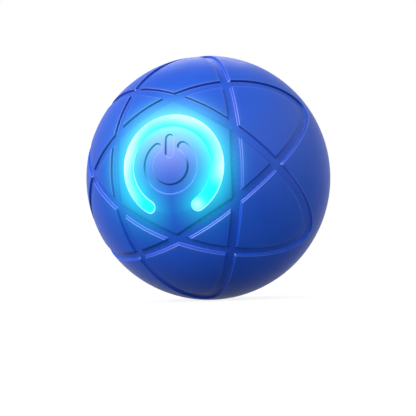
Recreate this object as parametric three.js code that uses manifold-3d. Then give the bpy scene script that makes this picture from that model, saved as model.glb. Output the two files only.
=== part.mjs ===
// A self rolling ball for cats: two soft half covers over two hard half shells, a lit power
// button in the front pole and a motor inside that turns an eccentric weight about the ball's
// axis, so that the ball keeps tipping over its own weight and rolls.
//
// Sizes are in millimetres. Inside the axisFrame group +Z points out of the button, +X to the
// right and +Y up as one looks at the button, and heights are measured from the ball's middle.
// The group turns the button to the front of the finished part, which faces -Y with +Z up.

import * as THREE from 'three';
import { mergeVertices } from 'three/addons/utils/BufferGeometryUtils.js';
import Module from 'manifold-3d';

const wasm = await Module();
wasm.setup();

// The ball and its layers
const ballDiameter = 43;
const coverThickness = 1.8;
const coverGap = 0.3;
const shellWall = 1.2;
const fitGap = 0.3;
const slideGap = 0.15;
const pressGap = 0.1;
const cutOverrun = 0.5;

// The channels: three closed loops that cross round each pole. Angles from the pole, in degrees
const loopTurns = [30, 90, 150];
const loopInner = { long: 71, short: 26.4 };
const loopOuter = { long: 83, short: 30.3 };
const loopPower = 1.85;
const channelDepth = 0.5;
const channelLean = 0.35;
const panelDrop = 0.25;

// The button key, its light ring and the engraved power symbol
const keyTravel = 0.4;
const keyBow = 0.14;
const keyWall = 1.5;
const keySkirt = 0.8;
const keyFlangeWidth = 0.9;
const keyFlangeThickness = 0.8;
const keyStemRadius = 1.6;
const lightRingMargin = 1.05;
const lightRingWidth = 2.02;
const lightRingHalfGap = 32.5;
const symbolDepth = 0.35;
const symbolRingRadius = 3.6;
const symbolRingWidth = 1.46;
const symbolHalfGap = 35;
const symbolBarWidth = 1.3;
const symbolBarBottom = 1.3;
const symbolBarTop = 5;

// The deck under the key, with its gasket, control board, lamps and switch
const gasketThickness = 0.4;
const gasketWidth = 0.8;
const keyStopGap = 0.1;
const deckThickness = 1.2;
const deckHoleRadius = 3.2;
const boardMargin = 1.24;
const boardThickness = 1;
const boardRoom = 1.9;
const lampCount = 6;
const lampSize = { long: 1.6, wide: 0.8, high: 0.6 };
const lampHoleRadius = 1.2;
const switchSize = { side: 4, high: 1.4, floor: 0.25 };
const plungerRadius = 0.8;
const plungerSink = 0.65;
const controlChip = { side: 4, high: 0.9, place: 3.6, turn: 35 };
const motionSensor = { side: 2.2, high: 0.8, place: 5.5, turn: 150 };

// The gear train
const toothModule = 0.4;
const gearClearance = 0.08;
const addendumShare = 0.85;
const dedendumShare = 1.25;
const rootShare = 0.86;
const pressureAngle = 20;
const motorPinionTeeth = 10;
const idlerWheelTeeth = 28;
const idlerPinionTeeth = 10;
const outputTeeth = 34;
const gearWidth = 1.6;
const gearLayerGap = 0.4;
const idlerTurn = 150;
const motorOffset = 8;

// Plates, shaft and bushes
const plateThickness = 1.2;
const plateGap = 0.6;
const shaftRadius = 1;
const shaftEnd = 0.2;
const bushRadius = 2;
const bushFlangeRadius = 2.8;
const bushFlangeThickness = 0.4;
const idlerPinRadius = 0.5;
const idlerPinEnd = 0.2;
const hubRadius = 3;
const hubNeckRadius = 2.3;

// The weight and the web that carries it
const runGap = 0.4;
const webGap = 0.3;
const webThickness = 0.8;
const webMargin = 2.3;
const weightSpan = 170;
const stakePlace = 9;
const stakeTurn = 40;
const stakeRadius = 0.8;

// Screws: three long ones hold the shells together, three short ones hold each plate
const shellScrew = { head: 1.5, headHigh: 1, shank: 0.7, turns: [57, 177, 297] };
const plateScrew = { head: 1, headHigh: 0.8, shank: 0.5 };
const frontScrewTurns = [0, 120, 240];
const windowTurns = [45, 75];
const rearScrewTurns = [5, 110, 245];
const bossWall = 0.5;
const bossInset = 1.9;
const frontBossRadius = 1.6;
const frontBossHigh = 5;
const screwSeat = 4;
const screwReach = 4.2;
const plateScrewReach = 2.2;
const postRadius = 1.4;
const postInset = 1.3;
const pilotEnd = 0.3;

// The lip and gasket where the shells meet
const rimGasketThickness = 0.5;
const lipThickness = 0.9;
const lipHigh = 1.4;
const lipRoot = 1;

// Motor, battery and charging board
const motorRadius = 4;
const motorBossRadius = 1.3;
const motorBossHigh = 0.7;
const motorBoreDepth = 2.3;
const motorCapThickness = 0.8;
const motorTerminal = { wide: 0.5, long: 1.2, place: 2.4, high: 0.3 };
const collarWall = 0.8;
const collarHigh = 3;
const batteryStart = 2.2;
const batteryThickness = 6;
const batteryCorner = 1.2;
const foamThickness = 0.8;
const chargeBoardRadius = 10.8;
const chargeBoardThickness = 0.8;
const chargeSeatWidth = 1.6;
const chargeChip = { side: 3, high: 0.8, place: 7.2, turn: 115 };

// The charging port and its plug
const portSize = { wide: 8.9, high: 3.2, long: 6.3, wall: 0.3, back: 0.8 };
const portTongue = { wide: 6.6, thick: 0.7, inset: 0.9 };
const plugSize = { wide: 11, high: 5.2 };
const plugLift = 0.1;
const plugNotch = 0.7;

// The ribbon cable that joins the two boards
const ribbon = { wide: 5, thick: 0.4, wallGap: 0.5 };
const ribbonTurn = 270;
const socket = { wide: 6, deep: 2, high: 1 };

// Facet counts
const coverSides = 36;
const coverRings = 8;
const shellSides = 24;
const shellRings = 6;
const loopSteps = 28;
const hexagonSteps = 24;
const roundSides = 16;
const smallSides = 8;
const arcSteps = 16;
const capSteps = 4;

// Sizes that follow from those above, heights from the ball's middle toward the button
const ballRadius = ballDiameter / 2;
const panelRadius = ballRadius - panelDrop;
const coverInner = ballRadius - coverThickness;
const shellOuter = coverInner - coverGap;
const shellInner = shellOuter - shellWall;
const shellMiddle = (shellOuter + shellInner) / 2;
const lightRingOuter = keyRadiusAt(loopTurns[0] + 90) - lightRingMargin;
const lightRingRadius = lightRingOuter - lightRingWidth / 2;
const keyFlangeRadius = keyRadiusAt(loopTurns[0]) + keyFlangeWidth;
const keyFlangeTop = legOf(coverInner - fitGap, keyFlangeRadius);
const keyFlangeBottom = keyFlangeTop - keyFlangeThickness;
const deckTop = keyFlangeBottom - keyTravel - keyStopGap - gasketThickness;
const deckBottom = deckTop - deckThickness;
const boardBottom = deckBottom - boardThickness;
const switchTop = deckBottom + switchSize.high;
const stemBottom = switchTop + keyTravel + keyStopGap;
const lensBottom = keyFlangeBottom + keyStopGap;

const outputBottom = -gearWidth / 2;
const outputTop = gearWidth / 2;
const wheelTop = outputBottom - gearLayerGap;
const wheelBottom = wheelTop - gearWidth;
const gearPlateTop = wheelBottom - plateGap;
const gearPlateBottom = gearPlateTop - plateThickness;
const idlerPinTop = outputTop + idlerPinEnd;
const webBottom = idlerPinTop + webGap;
const webTop = webBottom + webThickness;
const bearingPlateTop = boardBottom - boardRoom;
const bearingPlateBottom = bearingPlateTop - plateThickness;
const frontBushFlange = bearingPlateBottom - bushFlangeThickness;
const hubTop = frontBushFlange - fitGap;
const hubBottom = gearPlateTop + bushFlangeThickness + fitGap;
const weightTop = bearingPlateBottom - plateScrew.headHigh - fitGap;

const bossPlace = shellInner - bossInset;
const rearBossRadius = shellScrew.head + fitGap / 2 + bossWall;
const weightRadius = bossPlace - frontBossRadius - runGap;
const weightBore = hubRadius + fitGap;
const gearPlateRadius = bossPlace - rearBossRadius - runGap;
const rearScrewPlace = gearPlateRadius - postInset;
const frontSeatRadius = legOf(shellInner, deckBottom);
const bearingPlateRadius = legOf(shellInner, bearingPlateTop) - fitGap;
const frontScrewPlace = frontSeatRadius - runGap;
const boardRadius = frontScrewPlace - postRadius - boardMargin;
const lipOuter = shellInner - fitGap;
const lipInner = lipOuter - lipThickness;

const chargeBoardBack = -legOf(shellInner, chargeBoardRadius + runGap * 2);
const chargeBoardFront = chargeBoardBack + chargeBoardThickness;
const motorBack = chargeBoardFront + runGap;
const batteryFront = gearPlateBottom - foamThickness;
const batteryBack = chargeBoardFront + fitGap;
const batteryEnd = batteryStart + batteryThickness;
const batteryLong = 2 * legOf(legOf(shellInner - 2 * fitGap, batteryBack), batteryEnd);
const portMouth = chargeBoardBack - portSize.long;
const plugInner = -shellOuter - plugLift;

// Axes of the gear train, seen from the button
const idlerOffset = ((outputTeeth + idlerPinionTeeth) * toothModule) / 2 + gearClearance;
const motorReach = ((idlerWheelTeeth + motorPinionTeeth) * toothModule) / 2 + gearClearance;
const motorTurn = idlerTurn + angleBetween(idlerOffset, motorOffset, motorReach);
const idlerAxis = polar(idlerOffset, idlerTurn);
const motorAxis = polar(motorOffset, motorTurn);
const batteryTurn = motorTurn - 180;

// Places and lengths

function radians(degrees) {
  return THREE.MathUtils.degToRad(degrees);
}

function polar(distance, turn) {
  const angle = radians(turn);
  return new THREE.Vector2(distance * Math.cos(angle), distance * Math.sin(angle));
}

// The other short side of a right triangle, which is also a ball's radius at a height.
function legOf(longSide, shortSide) {
  return Math.sqrt(longSide ** 2 - shortSide ** 2);
}

// The angle between two sides of a triangle whose third side is known, in degrees.
function angleBetween(first, second, opposite) {
  const cosine = (first ** 2 + second ** 2 - opposite ** 2) / (2 * first * second);
  return THREE.MathUtils.radToDeg(Math.acos(cosine));
}

// The angle from the pole at which a loop edge lies in a direction from the loop's long axis.
function loopAngle(direction, edge) {
  const along = Math.abs(Math.cos(radians(direction)) / edge.long) ** loopPower;
  const across = Math.abs(Math.sin(radians(direction)) / edge.short) ** loopPower;
  return (along + across) ** (-1 / loopPower);
}

// The hexagon inside all three loops: its distance from the axis at a turn round the pole.
function hexagonRadiusAt(turn) {
  const angles = loopTurns.map((loopTurn) => loopAngle(turn - loopTurn, loopInner));
  return (ballDiameter / 2) * Math.sin(radians(Math.min(...angles)));
}

// The key has the hexagon's corners, but sides that bow less than the channels beside them.
function keyRadiusAt(turn) {
  const halfSide = 180 / (2 * loopTurns.length);
  const off = (turn + halfSide) % (2 * halfSide) - halfSide;
  const straight = Math.cos(radians(halfSide)) / Math.cos(radians(off));
  const bow = keyBow * (1 - (off / halfSide) ** 2);
  return hexagonRadiusAt(loopTurns[0]) * straight + bow;
}

// Solids

// A closed mesh as a solid that can be joined and cut.
function solidOf(geometry) {
  const bare = geometry.clone();
  bare.deleteAttribute('normal');
  bare.deleteAttribute('uv');
  const merged = mergeVertices(bare);
  const corners = merged.index.array;
  const kept = [];
  for (let i = 0; i < corners.length; i += 3) {
    const [a, b, c] = [corners[i], corners[i + 1], corners[i + 2]];
    if (a !== b && b !== c && c !== a) kept.push(a, b, c);
  }
  return new wasm.Manifold(new wasm.Mesh({
    numProp: 3,
    vertProperties: merged.attributes.position.array,
    triVerts: new Uint32Array(kept),
  }));
}

function geometryOf(solid) {
  const mesh = solid.getMesh();
  const geometry = new THREE.BufferGeometry();
  geometry.setAttribute('position', new THREE.BufferAttribute(mesh.vertProperties, 3));
  geometry.setIndex(new THREE.BufferAttribute(mesh.triVerts, 1));
  return geometry;
}

function joined(first, ...others) {
  return geometryOf(others.reduce((sum, other) => sum.add(solidOf(other)), solidOf(first)));
}

function cut(body, ...tools) {
  return geometryOf(tools.reduce((left, tool) => left.subtract(solidOf(tool)), solidOf(body)));
}

function common(first, second) {
  return geometryOf(solidOf(first).intersect(solidOf(second)));
}

// A turned solid from a profile of distances from the axis and heights, anticlockwise.
function turned(profile, sides) {
  const points = profile.map(([radius, height]) => new THREE.Vector2(radius, height));
  return new THREE.LatheGeometry(points, sides).rotateX(Math.PI / 2);
}

// A round rod or tube along the axis.
function rod(radius, bottom, top, sides = roundSides) {
  return turned([[0, bottom], [radius, bottom], [radius, top], [0, top]], sides);
}

function tube(inner, outer, bottom, top, sides = roundSides) {
  const profile = [[inner, bottom], [outer, bottom], [outer, top], [inner, top], [inner, bottom]];
  return turned(profile, sides);
}

// Points of a ball's profile between two heights above its middle, in degrees.
function ballArc(radius, from, to, steps) {
  const points = [];
  for (let i = 0; i <= steps; i += 1) {
    const angle = radians(from + ((to - from) * i) / steps);
    const distance = i === steps && Math.abs(to) === 90 ? 0 : radius * Math.cos(angle);
    points.push([distance, radius * Math.sin(angle)]);
  }
  return points;
}

// The angle above the middle at which a ball of this radius has this height.
function heightAngle(radius, height) {
  return THREE.MathUtils.radToDeg(Math.asin(height / radius));
}

function ball(radius, sides = shellSides, rings = shellRings) {
  const profile = ballArc(radius, -90, 90, 2 * rings);
  profile[0][0] = 0;
  return turned(profile, sides);
}

function raised(outline, bottom, top) {
  const options = { depth: top - bottom, bevelEnabled: false };
  return new THREE.ExtrudeGeometry(outline, options).translate(0, 0, bottom);
}

function block(wide, deep, bottom, top) {
  const height = top - bottom;
  return new THREE.BoxGeometry(wide, deep, height).translate(0, 0, bottom + height / 2);
}

// The same solid set at a distance from the axis and turned with its place.
function placed(geometry, distance, turn) {
  return geometry.translate(distance, 0, 0).rotateZ(radians(turn));
}

// Outlines

function arcPoints(centre, radius, from, to, steps) {
  const points = [];
  for (let i = 0; i <= steps; i += 1) {
    const turn = from + ((to - from) * i) / steps;
    points.push(polar(radius, turn).add(centre));
  }
  return points;
}

// A band along an arc round the axis, with round ends.
function arcBand(radius, width, from, to, steps = arcSteps) {
  const axis = new THREE.Vector2();
  const end = width / 2;
  return new THREE.Shape([
    ...arcPoints(axis, radius + end, from, to, steps),
    ...arcPoints(polar(radius, to), end, to, to + 180, capSteps).slice(1, -1),
    ...arcPoints(axis, radius - end, to, from, steps),
    ...arcPoints(polar(radius, from), end, from + 180, from + 360, capSteps).slice(1, -1),
  ]);
}

// A straight bar with round ends, across the axis in X.
function barOutline(wide, high) {
  const half = (wide - high) / 2;
  return new THREE.Shape([
    ...arcPoints(new THREE.Vector2(half, 0), high / 2, -90, 90, capSteps),
    ...arcPoints(new THREE.Vector2(-half, 0), high / 2, 90, 270, capSteps),
  ]);
}

function roundedBlock(wide, deep, corner) {
  const points = [];
  for (const [i, [sideX, sideY]] of [[1, 1], [-1, 1], [-1, -1], [1, -1]].entries()) {
    const centre = new THREE.Vector2(sideX * (wide / 2 - corner), sideY * (deep / 2 - corner));
    points.push(...arcPoints(centre, corner, i * 90, i * 90 + 90, capSteps / 2));
  }
  return new THREE.Shape(points);
}

// A closed outline round the pole whose radius follows the turn, drawn in or out by a growth.
function outlineRound(radiusAt, growth) {
  const points = [];
  for (let i = 0; i < hexagonSteps; i += 1) {
    const turn = (360 * i) / hexagonSteps;
    points.push(polar(radiusAt(turn) + growth, turn));
  }
  return new THREE.Shape(points);
}

function hexagonOutline(growth) {
  return outlineRound(hexagonRadiusAt, growth);
}

function keyOutline(growth) {
  return outlineRound(keyRadiusAt, growth);
}

// A gear's outline with involute flanks, one tooth pointing along a turn.
function gearOutline(teeth, firstTurn) {
  const pitchRadius = (teeth * toothModule) / 2;
  const tipRadius = pitchRadius + toothModule * addendumShare;
  const rootRadius = pitchRadius - toothModule * dedendumShare;
  const involute = (angle) => Math.tan(angle) - angle;
  const baseRadius = pitchRadius * Math.cos(radians(pressureAngle));
  const halfTooth = (radius) => {
    const rolled = involute(Math.acos(Math.min(1, baseRadius / radius)));
    const atPitch = Math.PI / (2 * teeth) + involute(radians(pressureAngle));
    return THREE.MathUtils.radToDeg(atPitch - rolled - gearClearance / (2 * pitchRadius));
  };
  const rootHalf = halfTooth(rootRadius) * rootShare;
  const points = [];
  for (let i = 0; i < teeth; i += 1) {
    const turn = firstTurn + (360 * i) / teeth;
    points.push(
      polar(rootRadius, turn - rootHalf),
      polar(pitchRadius, turn - halfTooth(pitchRadius)),
      polar(tipRadius, turn - halfTooth(tipRadius)),
      polar(tipRadius, turn + halfTooth(tipRadius)),
      polar(pitchRadius, turn + halfTooth(pitchRadius)),
      polar(rootRadius, turn + rootHalf),
    );
  }
  return new THREE.Shape(points);
}

function withHoles(outline, ...holes) {
  outline.holes.push(...holes);
  return outline;
}

function roundHole(radius, centre = new THREE.Vector2(), sides = roundSides) {
  return new THREE.Path(arcPoints(centre, radius, 0, 360, sides).slice(0, -1));
}

// Covers

// A closed band that follows one loop: the walls lean in toward the channel's floor.
function loopCutter(turn) {
  const lean = THREE.MathUtils.radToDeg(channelLean / ballRadius);
  const spread = (lean * cutOverrun) / channelDepth;
  const rings = [
    { edge: loopInner, growth: -spread, radius: ballRadius + cutOverrun },
    { edge: loopInner, growth: lean, radius: ballRadius - channelDepth },
    { edge: loopOuter, growth: -lean, radius: ballRadius - channelDepth },
    { edge: loopOuter, growth: spread, radius: ballRadius + cutOverrun },
  ];
  const places = [];
  for (let i = 0; i < loopSteps; i += 1) {
    for (const { edge, growth, radius } of rings) {
      places.push(...loopPoint(edge, growth, radius, turn, (2 * Math.PI * i) / loopSteps));
    }
  }
  const faces = [];
  for (let i = 0; i < loopSteps; i += 1) {
    const next = (i + 1) % loopSteps;
    for (let j = 0; j < rings.length; j += 1) {
      const beside = (j + 1) % rings.length;
      const [a, b] = [i * rings.length + j, i * rings.length + beside];
      const [c, d] = [next * rings.length + beside, next * rings.length + j];
      faces.push(a, c, b, a, d, c);
    }
  }
  const geometry = new THREE.BufferGeometry();
  geometry.setAttribute('position', new THREE.Float32BufferAttribute(places, 3));
  geometry.setIndex(faces);
  return geometry;
}

// A point of a loop's edge on a ball: the edge is a superellipse in angles from the pole.
function loopPoint(edge, growth, radius, turn, step) {
  const bent = (value) => Math.sign(value) * Math.abs(value) ** (2 / loopPower);
  const along = (edge.long + growth) * bent(Math.cos(step));
  const across = (edge.short + growth) * bent(Math.sin(step));
  const fromPole = radians(Math.hypot(along, across));
  const around = Math.atan2(across, along) + radians(turn);
  const distance = radius * Math.sin(fromPole);
  return [distance * Math.cos(around), distance * Math.sin(around), radius * Math.cos(fromPole)];
}

function halfCover() {
  const dome = turned([[0, 0], ...ballArc(ballRadius, 0, 90, coverRings)], coverSides);
  return cut(dome, ball(coverInner), ...loopTurns.map(loopCutter));
}

// Round the key the channels' floor runs up to the opening that the key stands in.
function frontCover() {
  const floorRound = cut(
    raised(hexagonOutline(cutOverrun / 2), 0, ballDiameter),
    ball(ballRadius - channelDepth, coverSides, coverRings),
  );
  return cut(halfCover(), floorRound, raised(keyOutline(slideGap), 0, ballDiameter));
}

// The rear pole has the same hexagon, lowered but closed, with the charging plug's hole in it.
function rearCover() {
  const lowered = cut(
    raised(hexagonOutline(cutOverrun / 2), 0, ballDiameter),
    ball(panelRadius, coverSides, coverRings),
  );
  const hole = barOutline(plugSize.wide + fitGap, plugSize.high + fitGap);
  return cut(halfCover(), lowered, raised(hole, 0, ballDiameter)).rotateY(Math.PI);
}

// Shells

function bosses(radius, bottom, top, place, turns) {
  return turns.map((turn) => placed(rod(radius, bottom, top, smallSides), place, turn));
}

function insideShell(geometry) {
  return common(geometry, ball(shellMiddle));
}

// The way that the ribbon takes past the shells' inner rings.
function ribbonWay(from, bottom, top) {
  const deep = shellOuter - from;
  const way = block(deep, ribbon.wide + 2 * fitGap, bottom, top);
  return placed(way, from + deep / 2, ribbonTurn);
}

function frontShell() {
  const rim = rimGasketThickness / 2;
  const profile = [
    [legOf(shellInner, rim), rim],
    ...ballArc(shellOuter, heightAngle(shellOuter, rim), heightAngle(shellOuter, deckTop), shellRings),
    [deckHoleRadius, deckTop],
    [deckHoleRadius, deckBottom],
    [frontSeatRadius, deckBottom],
    [frontSeatRadius, bearingPlateTop],
    ...ballArc(
      shellInner, heightAngle(shellInner, bearingPlateTop), heightAngle(shellInner, rim), shellRings,
    ),
  ];
  const shank = shellScrew.shank + slideGap;
  const plateShank = plateScrew.shank + slideGap;
  const plateHoleTop = bearingPlateTop + plateScrewReach + pilotEnd;
  return cut(
    joined(
      turned(profile, shellSides),
      ...bosses(frontBossRadius, 0, frontBossHigh, bossPlace, shellScrew.turns).map(insideShell),
      ...bosses(postRadius, bearingPlateTop, deckTop - deckThickness / 2, frontScrewPlace, frontScrewTurns),
    ),
    ...bosses(shank, -cutOverrun, screwReach + pilotEnd, bossPlace, shellScrew.turns),
    ...bosses(plateShank, bearingPlateTop - cutOverrun, plateHoleTop, frontScrewPlace, frontScrewTurns),
    ...bosses(lampHoleRadius, deckBottom - cutOverrun, deckTop + cutOverrun, lightRingRadius, lampTurns()),
    common(
      ribbonWay(frontSeatRadius - postRadius, rim, deckBottom),
      ball(shellInner),
    ),
  );
}

function rearShell() {
  const rim = -rimGasketThickness / 2;
  const seatInner = chargeBoardRadius - chargeSeatWidth;
  const seatDepth = legOf(shellInner, seatInner);
  const profile = [
    ...ballArc(shellOuter, heightAngle(shellOuter, rim), -90, shellRings).reverse(),
    [lipOuter, rim],
    [lipOuter, lipHigh],
    [lipInner, lipHigh],
    [lipInner, -lipRoot],
    ...ballArc(
      shellInner, heightAngle(shellInner, -lipRoot), heightAngle(shellInner, chargeBoardBack), shellRings,
    ),
    [seatInner, chargeBoardBack],
    ...ballArc(shellInner, heightAngle(shellInner, -seatDepth), -90, capSteps),
  ];
  const shank = shellScrew.shank + slideGap;
  const headHole = shellScrew.head + fitGap / 2;
  const plateShank = plateScrew.shank + slideGap;
  const plateHoleBottom = gearPlateBottom - plateScrewReach - pilotEnd;
  const portHole = barOutline(portSize.wide + 2 * fitGap, portSize.high + 2 * fitGap);
  return cut(
    joined(
      turned(profile, shellSides),
      ...bosses(rearBossRadius, -shellOuter, 0, bossPlace, shellScrew.turns).map(insideShell),
      ...bosses(postRadius, -shellOuter, gearPlateBottom, rearScrewPlace, rearScrewTurns).map(insideShell),
    ),
    ...bosses(shank, -shellOuter, cutOverrun, bossPlace, shellScrew.turns),
    ...bosses(headHole, -shellOuter, -screwSeat, bossPlace, shellScrew.turns),
    ...bosses(frontBossRadius + fitGap, 0, lipHigh + cutOverrun, bossPlace, shellScrew.turns),
    ...bosses(plateShank, plateHoleBottom, gearPlateBottom + cutOverrun, rearScrewPlace, rearScrewTurns),
    raised(portHole, -shellOuter - cutOverrun, chargeBoardBack),
    common(ribbonWay(lipInner - cutOverrun, -lipRoot - cutOverrun, lipHigh + cutOverrun), ball(shellInner)),
  );
}

function shellGasket() {
  const half = rimGasketThickness / 2;
  return tube(bossPlace + rearBossRadius + pressGap, shellOuter - pressGap, -half, half, coverSides);
}

// The key and what lies under it

function powerSymbol() {
  const [from, to] = [symbolHalfGap - 270, 90 - symbolHalfGap];
  const ring = arcBand(symbolRingRadius, symbolRingWidth, from, to);
  const bar = barOutline(symbolBarTop - symbolBarBottom, symbolBarWidth);
  const barMiddle = (symbolBarTop + symbolBarBottom) / 2;
  const upright = raised(bar, deckTop, ballRadius).rotateZ(Math.PI / 2).translate(0, barMiddle, 0);
  const marks = joined(raised(ring, deckTop, ballRadius), upright);
  return cut(marks, ball(panelRadius - symbolDepth, coverSides, coverRings));
}

function lightRingOutline(growth) {
  const [from, to] = [lightRingHalfGap - 90, 270 - lightRingHalfGap];
  return arcBand(lightRingRadius, lightRingWidth + 2 * growth, from, to);
}

function buttonPanel() {
  const dome = common(
    raised(keyOutline(0), keyFlangeBottom, ballRadius),
    ball(panelRadius, coverSides, coverRings),
  );
  const hollow = common(
    raised(keyOutline(-keySkirt), keyFlangeBottom - cutOverrun, ballRadius),
    ball(panelRadius - keyWall, shellSides, coverRings),
  );
  const flange = rod(keyFlangeRadius, keyFlangeBottom, keyFlangeTop, shellSides);
  const stem = rod(keyStemRadius, stemBottom, panelRadius - keyWall / 2, smallSides);
  return cut(
    joined(cut(joined(dome, flange), hollow), stem),
    raised(lightRingOutline(slideGap), keyFlangeBottom - cutOverrun, ballRadius),
    powerSymbol(),
  );
}

// The light guide that fills the C-shaped slot and reaches down to the lamps.
function ringLens() {
  return common(
    raised(lightRingOutline(0), lensBottom, ballRadius),
    ball(panelRadius, coverSides, coverRings),
  );
}

function buttonGasket() {
  const outer = keyFlangeRadius - pressGap;
  return tube(outer - gasketWidth, outer, deckTop, deckTop + gasketThickness, shellSides);
}

function lampTurns() {
  const span = 360 - 2 * lightRingHalfGap;
  const turns = [];
  for (let i = 0; i < lampCount; i += 1) {
    turns.push(lightRingHalfGap - 90 + (span * (i + 1 / 2)) / lampCount);
  }
  return turns;
}

function lamp(turn) {
  const body = block(lampSize.wide, lampSize.long, deckBottom, deckBottom + lampSize.high);
  return placed(body, lightRingRadius, turn);
}

function tactSwitch() {
  const bore = plungerRadius + slideGap;
  return cut(
    block(switchSize.side, switchSize.side, deckBottom, switchTop),
    rod(bore, deckBottom + switchSize.floor, switchTop + cutOverrun, smallSides),
  );
}

function switchPlunger() {
  return rod(plungerRadius, switchTop - plungerSink, stemBottom, smallSides);
}

function controlBoard() {
  return rod(boardRadius, boardBottom, deckBottom, shellSides);
}

// A chip that hangs under a board whose lower face is at this height.
function chipUnder(chip, height) {
  return placed(block(chip.side, chip.side, height - chip.high, height), chip.place, chip.turn);
}

// Plates and bushes

function plateScrewHoles(bottom, top, place, turns) {
  return bosses(plateScrew.shank + slideGap, bottom - cutOverrun, top + cutOverrun, place, turns);
}

function frontBearingPlate() {
  const windowFrom = (bushFlangeRadius + bearingPlateRadius) / 3;
  const windowTo = bearingPlateRadius - 2 * postRadius;
  const window = arcBand((windowFrom + windowTo) / 2, windowTo - windowFrom, ...windowTurns, capSteps);
  const windows = frontScrewTurns.map((turn) => (
    raised(window, bearingPlateBottom - cutOverrun, bearingPlateTop + cutOverrun).rotateZ(radians(turn))
  ));
  const ribbonEdge = legOf(ribbonArc().inner, bearingPlateTop) - fitGap;
  return cut(
    tube(bushRadius + pressGap, bearingPlateRadius, bearingPlateBottom, bearingPlateTop, shellSides),
    ...windows,
    ...plateScrewHoles(bearingPlateBottom, bearingPlateTop, frontScrewPlace, frontScrewTurns),
    ribbonWay(ribbonEdge, bearingPlateBottom - cutOverrun, bearingPlateTop + cutOverrun),
  );
}

// The rear plate carries the idler pin and has a moulded collar that grips the motor.
function rearGearPlate() {
  const collarInner = motorRadius + slideGap;
  const [collarBottom, collarTop] = [gearPlateBottom - collarHigh, gearPlateBottom + plateThickness / 2];
  const collar = tube(collarInner, collarInner + collarWall, collarBottom, collarTop);
  const [holeBottom, holeTop] = [gearPlateBottom - cutOverrun, gearPlateTop + cutOverrun];
  const pin = rod(idlerPinRadius + pressGap, holeBottom, holeTop, smallSides);
  const boss = rod(motorBossRadius + fitGap, holeBottom, holeTop);
  return cut(
    joined(
      tube(bushRadius + pressGap, gearPlateRadius, gearPlateBottom, gearPlateTop, shellSides),
      placed(collar, motorOffset, motorTurn),
    ),
    placed(boss, motorOffset, motorTurn),
    placed(pin, idlerOffset, idlerTurn),
    ...plateScrewHoles(gearPlateBottom, gearPlateTop, rearScrewPlace, rearScrewTurns),
  );
}

// A flanged bush in a plate: the flange lies on the side of the hub.
function bush(flangeSide, plateSide, plateFar) {
  const bore = shaftRadius + slideGap;
  const profile = [
    [bore, flangeSide],
    [bushFlangeRadius, flangeSide],
    [bushFlangeRadius, plateSide],
    [bushRadius, plateSide],
    [bushRadius, plateFar],
    [bore, plateFar],
    [bore, flangeSide],
  ];
  return turned(flangeSide < plateFar ? profile : profile.reverse(), roundSides);
}

// The turning parts

function mainShaft() {
  return rod(shaftRadius, gearPlateBottom - shaftEnd, bearingPlateTop + shaftEnd);
}

function sectorOutline(inner, outer) {
  const [from, to] = [270 - weightSpan / 2, 270 + weightSpan / 2];
  const axis = new THREE.Vector2();
  return new THREE.Shape([
    ...arcPoints(axis, outer, from, to, arcSteps),
    ...arcPoints(axis, inner, to, from, capSteps * 2),
  ]);
}

function stakePlaces() {
  return [270 - stakeTurn, 270 + stakeTurn].map((turn) => polar(stakePlace, turn));
}

// Output gear, hub and web in one moulding, with two stakes that hold the weight.
function weightCarrier() {
  const gear = raised(gearOutline(outputTeeth, idlerTurn + 180 / outputTeeth), outputBottom, outputTop);
  const neck = rod(hubNeckRadius, hubBottom, outputTop);
  const hub = rod(hubRadius, outputBottom, hubTop);
  const web = raised(sectorOutline(hubRadius / 2, weightRadius - webMargin), webBottom, webTop);
  const stakes = stakePlaces().map((place) => (
    rod(stakeRadius, webBottom, weightTop + runGap, smallSides).translate(place.x, place.y, 0)
  ));
  return cut(
    joined(gear, neck, hub, web, ...stakes),
    rod(shaftRadius + pressGap, hubBottom - cutOverrun, hubTop + cutOverrun),
  );
}

function eccentricWeight() {
  const holes = stakePlaces().map((place) => roundHole(stakeRadius + fitGap, place, smallSides));
  return raised(withHoles(sectorOutline(weightBore, weightRadius), ...holes), webTop, weightTop);
}

function idlerGear() {
  const bore = idlerPinRadius + slideGap;
  const wheel = gearOutline(idlerWheelTeeth, motorSideTurn());
  const pinion = gearOutline(idlerPinionTeeth, idlerTurn + 180);
  return cut(
    joined(raised(wheel, wheelBottom, wheelTop), raised(pinion, wheelTop - gearWidth / 2, outputTop)),
    rod(bore, wheelBottom - cutOverrun, outputTop + cutOverrun, smallSides),
  ).translate(idlerAxis.x, idlerAxis.y, 0);
}

// The direction from the idler's axis to the motor's.
function motorSideTurn() {
  const way = motorAxis.clone().sub(idlerAxis);
  return THREE.MathUtils.radToDeg(Math.atan2(way.y, way.x));
}

function idlerPin() {
  const pin = rod(idlerPinRadius, gearPlateBottom, idlerPinTop, smallSides);
  return pin.translate(idlerAxis.x, idlerAxis.y, 0);
}

function motorPinion() {
  const outline = gearOutline(motorPinionTeeth, motorSideTurn() + 180 + 180 / motorPinionTeeth);
  const bore = roundHole(idlerPinRadius + pressGap, undefined, smallSides);
  return raised(withHoles(outline, bore), wheelBottom, wheelTop).translate(motorAxis.x, motorAxis.y, 0);
}

function motorShaft() {
  const bottom = gearPlateBottom - motorBoreDepth + fitGap;
  return rod(idlerPinRadius, bottom, wheelTop, smallSides).translate(motorAxis.x, motorAxis.y, 0);
}

// Motor, battery and charging parts

function motorCan() {
  const bore = idlerPinRadius + fitGap;
  const top = gearPlateBottom + motorBossHigh;
  const bottom = motorBack + motorCapThickness;
  const boreBottom = gearPlateBottom - motorBoreDepth;
  const profile = [
    [0, bottom],
    [motorRadius, bottom],
    [motorRadius, gearPlateBottom],
    [motorBossRadius, gearPlateBottom],
    [motorBossRadius, top],
    [bore, top],
    [bore, boreBottom],
    [0, boreBottom],
  ];
  return turned(profile, roundSides).translate(motorAxis.x, motorAxis.y, 0);
}

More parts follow.
